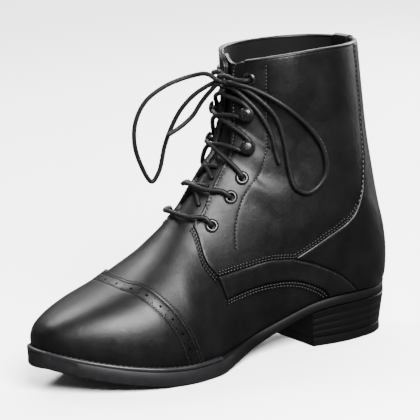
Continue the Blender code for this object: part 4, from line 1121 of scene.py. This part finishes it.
# Tongue
# A long strip of softer calf, 2 mm with its padding, sewn in under the throat's foot. It follows the shaft
# inside the quarters and ends a little below the collar.
TONGUE_THICKNESS = 0.0020
TONGUE_WIDTH = 0.056
TONGUE_PLAY = 0.0010
TONGUE_FOOT = 8.2
TONGUE_TOP = 20.7
rows = np.linspace(TONGUE_FOOT, TONGUE_TOP, 130)
shares = np.linspace(-1, 1, 31)
outer, inner = [], []
for row in rows:
    narrow = 1 - 0.35 * np.clip((row - (TONGUE_TOP - 0.5)) / 0.5, 0, 1) ** 2
    distance = shares * TONGUE_WIDTH / 2 * narrow
    rim = 1 - np.clip(1 - (1 - np.abs(shares)) / 0.06, 0, 1) ** 2
    drop = -WALL - TONGUE_PLAY - relief(np.full(len(shares), row), distance)
    outer.append(skin(row, distance, drop - TONGUE_THICKNESS * 0.5 * (1 - rim))[0])
    inner.append(skin(row, distance, drop - TONGUE_THICKNESS * (0.5 + 0.5 * rim))[0])
faces = ribbon(len(rows), len(shares))
points, faces, _ = thick(np.concatenate(outer), np.concatenate(inner), faces)
tongue = finished("tongue_leather", points, faces, [calf])
settle(tongue, "upper_leather", "tongue")

# Insole
# A flat board of pressed fibre under a thin dark sock of pigskin, cut to the last's underside. It closes
# the upper underneath and is laid in loose of the wall.
INSOLE_THICKNESS = 0.0025
INSOLE_PLAY = 0.0013
WAIST_LEDGE = 0.0010
HEEL_LEDGE = 0.0020
WELT_LEDGE = 0.0050


def outline_ring(ledge, stations):
    """The lower edge as (across, along), a ledge outside it, round from heel to toe and back."""
    along = (1 - np.cos(np.linspace(0, math.pi, stations))) / 2
    middle, half = outline_at(along)
    across = np.concatenate([middle + half, (middle - half)[-2:0:-1]])
    along = np.concatenate([along, along[-2:0:-1]])
    dx = np.roll(across, -1) - np.roll(across, 1)
    dy = (np.roll(along, -1) - np.roll(along, 1)) * LAST_LENGTH
    size = np.hypot(dx, dy)
    out = ledge(along)
    return across + out * dy / size, along - out * dx / size / LAST_LENGTH


def slab(rings, stations):
    """Rings of (ledge, height), from bottom to top, closed over and under by faces across: points, faces."""
    layers = []
    for ledge, height in rings:
        across, along = outline_ring(ledge, stations)
        layers.append(place(across, along, height(along)))
    count = len(layers[0])
    faces = []
    for k in range(len(layers) - 1):
        for i in range(count):
            j = (i + 1) % count
            faces.append((k * count + i, k * count + j, (k + 1) * count + j, (k + 1) * count + i))
    for base in (0, (len(layers) - 1) * count):
        for i in range(stations - 1):
            corners = [base + i, base + i + 1, base + (count - i - 1) % count, base + (count - i) % count]
            faces.append(tuple(dict.fromkeys(corners)))
    return np.concatenate(layers), faces


def sole_ledge(along):
    """How far the sole stands out from the upper."""
    fore = ease((along - 0.44) / 0.16)
    seat = ease((0.30 - along) / 0.14)
    return WAIST_LEDGE + (WELT_LEDGE - WAIST_LEDGE) * fore + (HEEL_LEDGE - WAIST_LEDGE) * seat


def even(value):
    """A measure that is the same all along."""
    return lambda along: np.full(np.shape(along), value)


inside_wall = -WALL - GAP - INSOLE_PLAY
rings = [(even(inside_wall), feather),
         (even(inside_wall), lambda a: feather(a) + INSOLE_THICKNESS - 0.5 * MM),
         (even(inside_wall - 0.5 * MM), lambda a: feather(a) + INSOLE_THICKNESS)]
points, faces = slab(rings, 90)
insole = finished("insole_sock", points, faces, [lining])
settle(insole, "insole_board", "insole")

# Welt
# A strip of dark leather board round the forefoot, 2.2 mm thick and 5 mm wide, on which the upper stands. A
# row of coarse stitching runs round it.
WELT_THICKNESS = 0.0022
WELT_BACK = 0.60
WELT_PITCH = 3.6
WELT_STITCH_FORM = [(-1.0, 0.4), (-0.6, 0.9), (0.0, 1.0), (0.6, 0.9), (1.0, 0.4)]
WELT_STITCH_SIZE = (1.25, 0.42, 0.30, 0.12)
DARKER_FROM = -0.115
DARKEST_FROM = -0.085


def buffed_edge(name, dark, pale, rough, specular):
    """Rubber or board with a buffed edge: dull, faintly mottled, with fine level scratches from the buffing.
    From the waist back the edge is darker than round the forefoot."""
    material, tree = new_material(name)
    spot = add(tree, "ShaderNodeTexCoord").outputs["Object"]
    cloud = add(tree, "ShaderNodeTexNoise", {"Scale": 1 / (6 * MM), "Detail": 5.0, "Roughness": 0.65},
                {"Vector": spot})
    speck = add(tree, "ShaderNodeTexNoise", {"Scale": 1 / (0.7 * MM), "Detail": 4.0, "Roughness": 0.7},
                {"Vector": spot})
    level = add(tree, "ShaderNodeMapping", {"Scale": (60.0, 60.0, 2200.0)}, {"Vector": spot})
    scratch = add(tree, "ShaderNodeTexNoise", {"Scale": 1.0, "Detail": 3.0},
                  {"Vector": level.outputs["Vector"]})
    tone = add(tree, "ShaderNodeValToRGB", links={"Fac": cloud.outputs["Fac"]},
               stops=[(0.30, dark), (0.75, pale)])
    split = add(tree, "ShaderNodeSeparateXYZ", links={"Vector": spot})
    toward_heel = add(tree, "ShaderNodeMapRange",
                {"From Min": DARKER_FROM, "From Max": DARKEST_FROM, "To Min": 0.0, "To Max": 1.0},
                {"Value": split.outputs["Y"]})
    # The edge turns near black from the waist back
    edge_tone = add(tree, "ShaderNodeMix", links={"Factor": toward_heel.outputs["Result"]}, data_type="RGBA")
    tree.links.new(tone.outputs["Color"], edge_tone.inputs[6])
    edge_tone.inputs[7].default_value = linear("#030303")
    first = add(tree, "ShaderNodeBump", {"Strength": 0.35, "Distance": 0.08 * MM},
                {"Height": speck.outputs["Fac"]})
    second = add(tree, "ShaderNodeBump", {"Strength": 0.35, "Distance": 0.08 * MM},
                 {"Height": scratch.outputs["Fac"], "Normal": first.outputs["Normal"]})
    gloss = add(tree, "ShaderNodeMapRange",
                {"From Min": 0.3, "From Max": 0.7, "To Min": rough - 0.06, "To Max": rough + 0.08},
                {"Value": speck.outputs["Fac"]})
    shader = add(tree, "ShaderNodeBsdfPrincipled", {"IOR": 1.52, "Specular IOR Level": specular},
                 {"Base Color": edge_tone.outputs[2], "Roughness": gloss.outputs["Result"],
                  "Normal": second.outputs["Normal"]})
    close(tree, shader)
    return material


sole_edge = buffed_edge("moulded_rubber", "#070708", "#0d0d0e", 0.50, 0.09)
welt_board = buffed_edge("dressed_welt", "#070708", "#0f0f10", 0.40, 0.28)
stations = (1 - np.cos(np.linspace(0, math.pi, 200))) / 2
middle, half = outline_at(stations)
across = np.concatenate([(middle + half), (middle - half)[::-1][1:]])
along = np.concatenate([stations, stations[::-1][1:]])
keep = along > WELT_BACK - 0.02
edge = evenly(np.stack([across, along * LAST_LENGTH], 1)[keep], 1.8 * MM)
run = unit(np.gradient(edge, axis=0))
out = np.stack([run[:, 1], -run[:, 0]], 1)
if np.mean(out[len(out) // 2 - 3:len(out) // 2 + 3, 1]) < 0:
    out = -out


def welt_point(k, ledge, height):
    """A point of the welt's section at a station, a ledge out and a height over the lower edge."""
    x, y = edge[k] + ledge * out[k]
    return np.array([x, HEEL_LENGTH / 2 - y, float(feather(min(edge[k, 1] / LAST_LENGTH, 1.0))) + height])


sections = []
near = PANEL + 3 * GAP
for k in range(len(edge)):
    far = float(sole_ledge(edge[k, 1] / LAST_LENGTH))
    profile = [(near, 0.0), (far - 0.15 * MM, 0.0), (far, 0.3 * MM), (far, WELT_THICKNESS - 0.7 * MM),
               (far - 0.25 * MM, WELT_THICKNESS - 0.25 * MM), (far - 0.8 * MM, WELT_THICKNESS),
               (near + 0.3 * MM, WELT_THICKNESS - 0.1 * MM), (near, WELT_THICKNESS - 0.5 * MM)]
    sections.append(np.array([welt_point(k, *p) for p in profile]))
settle(finished("welt_strip", *bank(sections), [welt_board]), "welt", "welt")
line = np.array([welt_point(k, (near + float(sole_ledge(edge[k, 1] / LAST_LENGTH))) / 2, WELT_THICKNESS)
                 for k in range(3, len(edge) - 3)])
line = evenly(line, WELT_PITCH * MM)
upright = np.array([0, 0, 1.0])
bars = [stitch(p, t, unit(np.cross(t, upright)), upright, WELT_STITCH_FORM, WELT_STITCH_SIZE)
        for p, t in zip(line, unit(np.gradient(line, axis=0)))]
settle(finished("welt_stitching", *joined(bars), [thread]), "welt")

# Outsole
# Black rubber cut in one piece from heel seat to toe, 10 mm at the ball and 7 mm at the seat, with a buffed
# edge. It rises at the toe, lies flat under the ball and arches over the waist.
SOLE_EDGE = 0.0012


def sole_top(along):
    """The outsole's upper face, just under the upper and the welt."""
    return feather(along) - 2 * GAP


rings = [(lambda a: sole_ledge(a) - SOLE_EDGE - 2 * MM, tread), (lambda a: sole_ledge(a) - SOLE_EDGE, tread),
         (lambda a: sole_ledge(a) - SOLE_EDGE * 0.3, lambda a: tread(a) + SOLE_EDGE * 0.3),
         (sole_ledge, lambda a: tread(a) + SOLE_EDGE),
         (lambda a: sole_ledge(a) - 0.15 * MM, lambda a: (tread(a) + sole_top(a)) / 2),
         (sole_ledge, lambda a: sole_top(a) - 0.5 * MM),
         (lambda a: sole_ledge(a) - 0.45 * MM, sole_top), (lambda a: sole_ledge(a) - 2.5 * MM, sole_top)]
points, faces = slab(rings, 120)
outsole = finished("outsole_rubber", points, faces, [sole_edge])
settle(outsole, "sole_rubber", "outsole")

# Heel block and top piece
# The heel is built of layers, pressed and buffed so that their joints show as fine level lines. Its front,
# the breast, is cut straight across, and a 6 mm rubber top piece takes the wear.
TOP_PIECE = 0.006
HEEL_TAPER = 0.0035
WELT_EDGE = 0.0006
HEEL_BREAST = (HEEL_LENGTH + 0.004) / LAST_LENGTH
HEEL_LINES = [0.235, 0.475, 0.740]
BREAST_LEAN = 0.28
LAYER_GROOVE = 0.16 * MM
WORN_EDGE = 0.25 * MM


def stack(name, levels, material, stations=64):
    """A heel-shaped block with a straight breast: rings of (inset, height, breast's share along)."""
    layers = []
    for inset, height, front in levels:
        along = front * (1 - np.cos(np.linspace(0, math.pi / 2, stations)))
        along[-1] = front
        middle, half = outline_at(along)
        ledge = sole_ledge(along) - inset
        slope = np.gradient(half, along * LAST_LENGTH + 1e-9)
        size = np.sqrt(1 + slope ** 2)
        size[0] = 1e9
        half_out = half + ledge / size
        back_shift = ledge * np.where(np.arange(stations) == 0, 1.0, slope / size)
        back_shift = np.clip(back_shift, -np.abs(ledge), np.abs(ledge)) / LAST_LENGTH
        along_out = np.minimum(along - back_shift, front)
        one = np.stack([middle + half_out, along_out], 1)
        two = np.stack([middle - half_out, along_out], 1)[::-1][:-1]
        breast = np.stack([np.linspace(one[-1, 0], two[0, 0], 24)[1:-1], np.full(22, front)], 1)
        ring = np.concatenate([one, breast, two])
        layers.append(place(ring[:, 0], ring[:, 1], height(ring[:, 1])))
    return finished(name, *bank(layers), [material])


bottom = TOP_PIECE + GAP
foot = HEEL_BREAST - 0.004 + BREAST_LEAN * 0.010
shares = [0.0, 0.01]
for joint in HEEL_LINES:
    shares += [joint - 0.022, joint - 0.008, joint + 0.008, joint + 0.022]
shares += [0.99, 1.0]
levels = []
for share in shares:
    groove = LAYER_GROOVE if any(abs(share - joint) < 0.01 for joint in HEEL_LINES) else 0.0
    worn = WORN_EDGE if share in (0.0, 1.0) else 0.0
    front = foot + BREAST_LEAN * (share * (HEEL_HEIGHT - bottom) + bottom)
    levels.append((HEEL_TAPER * (1 - share) + groove + worn,
                   lambda a, f=share: bottom + f * (tread(a) - GAP - bottom), front))
heel_board = buffed_edge("stacked_heel_board", "#030304", "#080809", 0.45, 0.09)
settle(stack("heel_stack", levels, heel_board), "heel_stack", "heel")
levels = [(HEEL_TAPER + WELT_EDGE + 1 * MM, even(0.0), foot - 0.004),
          (HEEL_TAPER + WELT_EDGE, even(0.0), foot),
          (HEEL_TAPER + 0.15 * MM, even(0.3 * MM), foot),
          (HEEL_TAPER, even(WELT_EDGE), foot),
          (HEEL_TAPER, even(TOP_PIECE - 0.2 * MM), foot + 0.0015),
          (HEEL_TAPER + WORN_EDGE, even(TOP_PIECE), foot + 0.0015)]
settle(stack("heel_top_piece_rubber", levels, sole_edge), "sole_rubber", "heel_top_piece")

# Eyelets and hooks
# Pressed steel, painted black: rings 9.2 mm across clenched through both layers, and hooks with a low dome
# over a short neck, riveted on the quarter's face.
EYELET_BORE = 0.0022
EYELET_RADIUS = 0.0046
EYELET_HEIGHT = 0.0012
HOOK_RADIUS = 0.0045
HOOK_BASE = 0.0008
HOOK_NECK = 0.0016
HOOK_DOME = 0.0024
LACE = 0.0031


def painted_steel():
    """Pressed steel with baked black paint: smooth, hard highlights, and brown-grey rub marks at the rims."""
    material, tree = new_material("painted_steel")
    spot = add(tree, "ShaderNodeTexCoord").outputs["Object"]
    wear = add(tree, "ShaderNodeTexNoise", {"Scale": 1 / (1.5 * MM), "Detail": 5.0, "Roughness": 0.7},
               {"Vector": spot})
    tone = add(tree, "ShaderNodeValToRGB", links={"Fac": wear.outputs["Fac"]},
               stops=[(0.45, "#040404"), (0.80, "#161514")])
    gloss = add(tree, "ShaderNodeMapRange",
                {"From Min": 0.3, "From Max": 0.7, "To Min": 0.20, "To Max": 0.36},
                {"Value": wear.outputs["Fac"]})
    bump = add(tree, "ShaderNodeBump", {"Strength": 0.2, "Distance": 0.04 * MM},
               {"Height": wear.outputs["Fac"]})
    shader = add(tree, "ShaderNodeBsdfPrincipled",
                 {"Metallic": 0.0, "IOR": 1.50, "Specular IOR Level": 0.16, "Coat Weight": 0.05,
                  "Coat Roughness": 0.12},
                 {"Base Color": tone.outputs["Color"], "Roughness": gloss.outputs["Result"],
                  "Normal": bump.outputs["Normal"]})
    close(tree, shader)
    return material


def turned(name, profile, spot, sides=40):
    """A closed profile of (radius, height) turned round the normal of a spot."""
    point, out, up_way, normal = spot
    rings = []
    for angle in np.linspace(0, 2 * math.pi, sides + 1)[:-1]:
        round_way = math.cos(angle) * out + math.sin(angle) * up_way
        rings.append([point + r * round_way + h * normal for r, h in profile])
    return finished(name, *bank(rings, loop=True), [paint])


def rounded(corners, bend, steps=4):
    """A closed profile with each listed corner rounded."""
    made = []
    pts = np.array(corners, float)
    for k, p in enumerate(pts):
        if not bend[k]:
            made.append(p)
            continue
        before, after = unit(pts[k - 1] - p), unit(pts[(k + 1) % len(pts)] - p)
        for t in np.linspace(0, 1, steps + 1):
            a, b = p + before * bend[k], p + after * bend[k]
            made.append((1 - t) ** 2 * a + 2 * t * (1 - t) * p + t ** 2 * b)
    return [tuple(p) for p in made]


def seat_spot(row, share, side):
    """A spot on a quarter, square to the leather that a holder's flange covers, with the ways out and up."""
    distance = side * share * UPPER_HEIGHT
    base = GAP + PANEL
    point, normal = (a[0] for a in skin(row, distance, base))
    out = unit(skin(row, distance + side * MM, base)[0][0] - point)
    up_way = np.cross(normal, out)
    up_way *= np.sign(up_way @ (skin(row + 0.1, distance, base)[0][0] - point))
    per_out = skin(row, distance + side * MM, base)[0][0] - point
    per_row = skin(row + 0.1, distance, base)[0][0] - point
    ring = []
    for t in np.linspace(0, 2 * math.pi, 13)[:-1]:
        step = EYELET_RADIUS * (math.cos(t) * out + math.sin(t) * up_way)
        move = np.linalg.solve(np.stack([per_out, per_row, normal], 1), step)
        ring.append(skin(row + 0.1 * move[1], distance + side * MM * move[0], base)[0][0])
    ring = np.array(ring)
    square = unit(np.cross(ring, np.roll(ring, -1, 0)).sum(0))
    square *= np.sign(square @ normal)
    height = max(np.max((ring - point) @ square), 0.0)
    out = unit(out - square * (out @ square))
    up_way = up_way - square * (up_way @ square)
    up_way = unit(up_way - out * (up_way @ out))
    return point + height * square, out, up_way, square


paint = painted_steel()
depth = PANEL + GAP + WALL
rim = GAP + EYELET_HEIGHT
ring_profile = rounded([(EYELET_BORE, -depth), (EYELET_BARREL, -depth), (EYELET_BARREL, GAP),
                        (EYELET_RADIUS, GAP), (EYELET_RADIUS, GAP + 0.45 * MM),
                        (EYELET_RADIUS - 1.1 * MM, rim),
                        (EYELET_BORE + 0.7 * MM, rim), (EYELET_BORE, rim - 0.6 * MM)],
                       [0, 0, 0, 0.1 * MM, 0.25 * MM, 0.6 * MM, 0.4 * MM, 0.4 * MM])
base_top = GAP + HOOK_BASE
dome = base_top + LACE + 3 * GAP
stud_profile = rounded([(0, GAP), (HOOK_RADIUS, GAP), (HOOK_RADIUS, base_top - 0.2 * MM),
                        (HOOK_NECK, base_top), (HOOK_NECK, dome), (HOOK_RADIUS, dome + 0.2 * MM),
                        (HOOK_RADIUS - 0.1 * MM, dome + 1.1 * MM),
                        (HOOK_RADIUS * 0.55, dome + HOOK_DOME * 0.98), (0, dome + HOOK_DOME)],
                       [0, 0.1 * MM, 0.15 * MM, 0.4 * MM, 0.4 * MM, 0.3 * MM, 0.5 * MM, 0.9 * MM, 0])
spots = {}
for side, word in SIDES:
    for number, (row, share, kind) in enumerate(HOLDERS, 1):
        spots[side, number] = seat_spot(row, share, side)
        name = "%s_%s_%d" % (kind, word, number)
        profile = ring_profile if kind == "eyelet" else stud_profile
        piece = turned(name + "_steel", profile, spots[side, number])
        settle(piece, "black_metal", name)

# Laces
# Round waxed cotton, 3.1 mm thick, braided over a core. Two bars and two crosses draw the throat's foot
# together. The lace then runs crossed from eyelet 3 round both pairs of hooks and under the bow.
BRAID_PITCH = 0.0060
BRAID_STRANDS = 8
CROSSES = [
    # row where it starts and where it ends, how far round it starts and ends, as shares of the height
    (9.25, 10.05, 0.078, 0.068),
    (10.45, 11.15, 0.064, 0.052),
]


def waxed_cotton():
    """Waxed cotton braid: near black, with a soft broken shine from the wax on the raised strands."""
    material, tree = new_material("waxed_cotton_braid")
    spot = add(tree, "ShaderNodeTexCoord").outputs["Object"]
    fibre = add(tree, "ShaderNodeTexNoise", {"Scale": 1 / (0.35 * MM), "Detail": 4.0, "Roughness": 0.7},
                {"Vector": spot})
    patch = add(tree, "ShaderNodeTexNoise", {"Scale": 1 / (5 * MM), "Detail": 3.0}, {"Vector": spot})
    tone = add(tree, "ShaderNodeValToRGB", links={"Fac": fibre.outputs["Fac"]},
               stops=[(0.30, "#020203"), (0.75, "#09090a")])
    gloss = add(tree, "ShaderNodeMapRange",
                {"From Min": 0.3, "From Max": 0.7, "To Min": 0.42, "To Max": 0.62},
                {"Value": patch.outputs["Fac"]})
    bump = add(tree, "ShaderNodeBump", {"Strength": 0.5, "Distance": 0.12 * MM},
               {"Height": fibre.outputs["Fac"]})
    shader = add(tree, "ShaderNodeBsdfPrincipled",
                 {"IOR": 1.48, "Specular IOR Level": 0.12, "Sheen Weight": 0.01, "Sheen Roughness": 0.4},
                 {"Base Color": tone.outputs["Color"], "Roughness": gloss.outputs["Result"],
                  "Normal": bump.outputs["Normal"]})
    close(tree, shader)
    return material


def braided(points, spacing=0.45 * MM, sides=18):
    """A braided round lace along a smooth curve: points, faces and the line of its ring centres."""
    line = smooth_path(points, spacing)
    heading = unit(np.gradient(line, axis=0))
    side = unit(np.cross(heading[0], [0.13, 0.4, 1.0]))
    rings = []
    run = 0.0
    turn = np.linspace(0, 2 * math.pi, sides + 1)[:-1]
    strands = BRAID_STRANDS / 2
    for k, (p, t) in enumerate(zip(line, heading)):
        side = unit(side - t * (side @ t))
        up_way = np.cross(t, side)
        if k:
            run += float(np.linalg.norm(p - line[k - 1]))
        phase = 2 * math.pi * run / BRAID_PITCH
        weave = np.maximum(np.sin(strands * (turn + phase / 2)), np.sin(strands * (turn - phase / 2)))
        radius = LACE / 2 * (0.965 + 0.035 * weave)
        from_end = min(k, len(line) - 1 - k)
        radius = radius * (0.80 + 0.20 * min(from_end / 2, 1.0))
        rings.append(p + radius[:, None] * (np.cos(turn)[:, None] * side + np.sin(turn)[:, None] * up_way))
    return *bank(rings), line


def lace_piece(name, routes, nodes):
    """A held length of lace: its strands as one piece."""
    settle(finished(name, *joined([braided(route)[:2] for route in routes]), [braid]), "lace", *nodes)


def off(spot, out, up_way, lift):
    """A point near a spot, moved away from the ridge, up the rows and out of the leather."""
    point, away, along, normal = spot
    return point + out * away + up_way * along + lift * normal


def over_ridge(row, side, share, lift):
    """A point near the ridge, a share of the upper's height round from it."""
    distance = side * share * UPPER_HEIGHT
    return skin(row, distance, lift - relief(np.array([row]), np.array([distance]))[0])[0][0]


def from_bore(spot, up_way):
    """The lace coming up out of an eyelet and bending towards the ridge."""
    clear = 2 * GAP + EYELET_HEIGHT + LACE / 2
    return [off(spot, 0, 0, -WALL), off(spot, 0, 0, EYELET_HEIGHT),
            off(spot, -0.5 * MM, up_way * 0.2, clear - 0.4 * MM),
            off(spot, -2.5 * MM, up_way * 0.5, clear + 0.3 * MM),
            off(spot, -6.0 * MM, up_way, clear + 0.3 * MM)]


def round_hook(spot):
    """The lace passing under a hook's dome, round the far side of its neck and back."""
    away = HOOK_NECK + LACE / 2 + 2 * GAP
    lift = GAP + HOOK_BASE + LACE / 2 + 1.5 * GAP
    turn = [(-1.6, -1.35), (0.0, -1.0), (0.75, -0.72), (1.04, 0.0), (0.75, 0.72), (0.0, 1.0), (-1.6, 1.35)]
    return [off(spot, out * away, along * away, lift) for out, along in turn]


braid = waxed_cotton()
high = PANEL + 3 * GAP + EYELET_HEIGHT + LACE
low = LACE / 2 - WALL - TONGUE_PLAY + GAP
for number in (1, 2):
    row = HOLDERS[number - 1][0]
    middle = [over_ridge(row - 0.70, 1, 0.075, 4.6 * MM), over_ridge(row - 0.92, 1, 0.0, 4.0 * MM),
              over_ridge(row - 0.70, -1, 0.075, 4.6 * MM)]
    route = from_bore(spots[1, number], -2.5 * MM) + middle + from_bore(spots[-1, number], -2.5 * MM)[::-1]
    lace_piece("lace_bar_%d_braid" % number, [route], ["lace_bar_%d" % number])
for number, (start, end, wide, narrow) in enumerate(CROSSES, 1):
    routes = [[over_ridge(start, side, wide, low), over_ridge((start + end) / 2, 1, 0.0, low),
               over_ridge(end, -side, narrow, low)] for side in (1, -1)]
    lace_piece("lace_cross_%d_braid" % number, routes, ["lace_cross_%d" % number])
routes = []
for side in (1, -1):
    lap = 0.6 * MM * side
    route = from_bore(spots[side, 3], 1.2 * MM) + [over_ridge(12.30, 1, 0.0, high + lap)]
    route += round_hook(spots[-side, 4]) + [over_ridge(14.40, 1, 0.0, high + lap)]
    route += round_hook(spots[side, 5]) + [over_ridge(16.80, 1, 0.0, high - 1.0 * MM)]
    routes.append(route + [over_ridge(17.45, -side, 0.017, 1.2 * MM)])
lace_piece("lace_front_braid", routes, ["lace_front"])

# Bow
# Both free ends come up out of the top eyelets, turn once round each other in a flat knot, and are tied in a
# bow: the inner loop and end lie on the leather, the outer ones stand off in the air.
KNOT_RADIUS = 0.0048
KNOT_ROW = 18.3
LOOP_SIZE = 0.050
NEAR_LOOP = [
    # row, share round from the ridge, lift
    (18.33, 0.060, 0.0031), (18.35, 0.138, 0.0), (18.10, 0.261, 0.0), (17.60, 0.391, 0.0),
    (16.90, 0.464, 0.0), (15.60, 0.500, 0.0), (14.20, 0.471, 0.0), (13.30, 0.433, 0.0), (13.10, 0.377, 0.0),
    (13.60, 0.335, 0.0), (15.40, 0.288, 0.0), (16.90, 0.237, 0.0), (17.60, 0.173, 0.0), (17.92, 0.098, 0.0),
]
NEAR_END = [
    (17.56, 0.046, 0.0004), (17.22, 0.092, 0.0), (16.50, 0.162, 0.0), (15.40, 0.222, 0.0),
    (14.20, 0.260, 0.0), (13.50, 0.286, 0.0),
]
FAR_LOOP = [
    # across, toward the toe and up from the knot, in loop sizes
    (-0.16, 0.12, 0.075), (-0.32, 0.25, 0.05), (-0.48, 0.56, -0.06), (-0.60, 0.81, -0.25),
    (-0.66, 0.94, -0.50), (-0.68, 0.97, -0.77), (-0.68, 0.91, -1.05), (-0.67, 0.75, -1.34),
    (-0.63, 0.66, -1.22), (-0.58, 0.57, -0.86), (-0.52, 0.50, -0.64), (-0.42, 0.38, -0.38),
    (-0.28, 0.21, -0.17),
]
FAR_END = [(-0.10, 0.12, -0.15), (-0.20, 0.20, -0.29), (-0.28, 0.30, -0.47), (-0.34, 0.45, -0.60),
           (-0.40, 0.62, -0.70)]
NEAR_LENGTH = 0.344
FAR_LENGTH = 0.300
knot = over_ridge(KNOT_ROW, 1, 0.006, PANEL + 2 * GAP + KNOT_RADIUS * 0.9)
knot_up = unit(over_ridge(KNOT_ROW + 0.5, 1, 0.006, 0.0) - over_ridge(KNOT_ROW - 0.5, 1, 0.006, 0.0))
knot_out = unit(skin(KNOT_ROW, 1 * MM)[1][0])
knot_side = np.cross(knot_up, knot_out)
knot_side *= np.sign(knot_side[0])


def by_knot(across, out, up_way):
    """A point by the knot, in laces' thicknesses across to the inner side, out of the boot and up."""
    return knot + LACE * (across * knot_side + out * knot_out + up_way * knot_up)


on_leather = PANEL + 3 * GAP + LACE / 2
near_loop, near_end = ([over_ridge(row, 1, share, on_leather + rise) for row, share, rise in line]
                       for line in (NEAR_LOOP, NEAR_END))
far_loop, far_end = (list(knot + LOOP_SIZE * np.array(line) * [1, -1, 1]) for line in (FAR_LOOP, FAR_END))
near_route = from_bore(spots[1, 6], -1.4 * MM)
near_route += [by_knot(0.9, -0.1, 0.9), by_knot(0.0, 0.55, 0.75), by_knot(-0.85, 0.0, 0.2),
               by_knot(-0.2, -0.75, -0.3)] + near_loop
near_route += [by_knot(0.85, 0.35, -0.35), by_knot(0.0, 1.0, 0.0), by_knot(-0.95, 0.1, -0.65),
               by_knot(-0.1, -0.25, -1.15)] + near_end
far_route = from_bore(spots[-1, 6], -1.4 * MM)
far_route += [by_knot(-0.9, -0.2, 1.5), by_knot(0.1, -0.65, 0.75), by_knot(1.0, -0.1, 0.1),
              by_knot(0.3, 0.30, -0.45)] + far_loop
far_route += [by_knot(-0.9, -0.55, -0.2), by_knot(0.1, -0.60, -0.7), by_knot(0.65, 0.25, -1.15),
              by_knot(-0.3, 0.70, -0.95)] + far_end
for name, route, nodes, length in (
        ("lace_near_braid", near_route, ["lace_knot", "lace_loop_near", "lace_end_near"], NEAR_LENGTH),
        ("lace_far_braid", far_route, ["lace_loop_far", "lace_end_far"], FAR_LENGTH)):
    points, faces, line = braided(route)
    piece = finished(name, points, faces, [braid])
    settle(piece, "lace", *nodes)
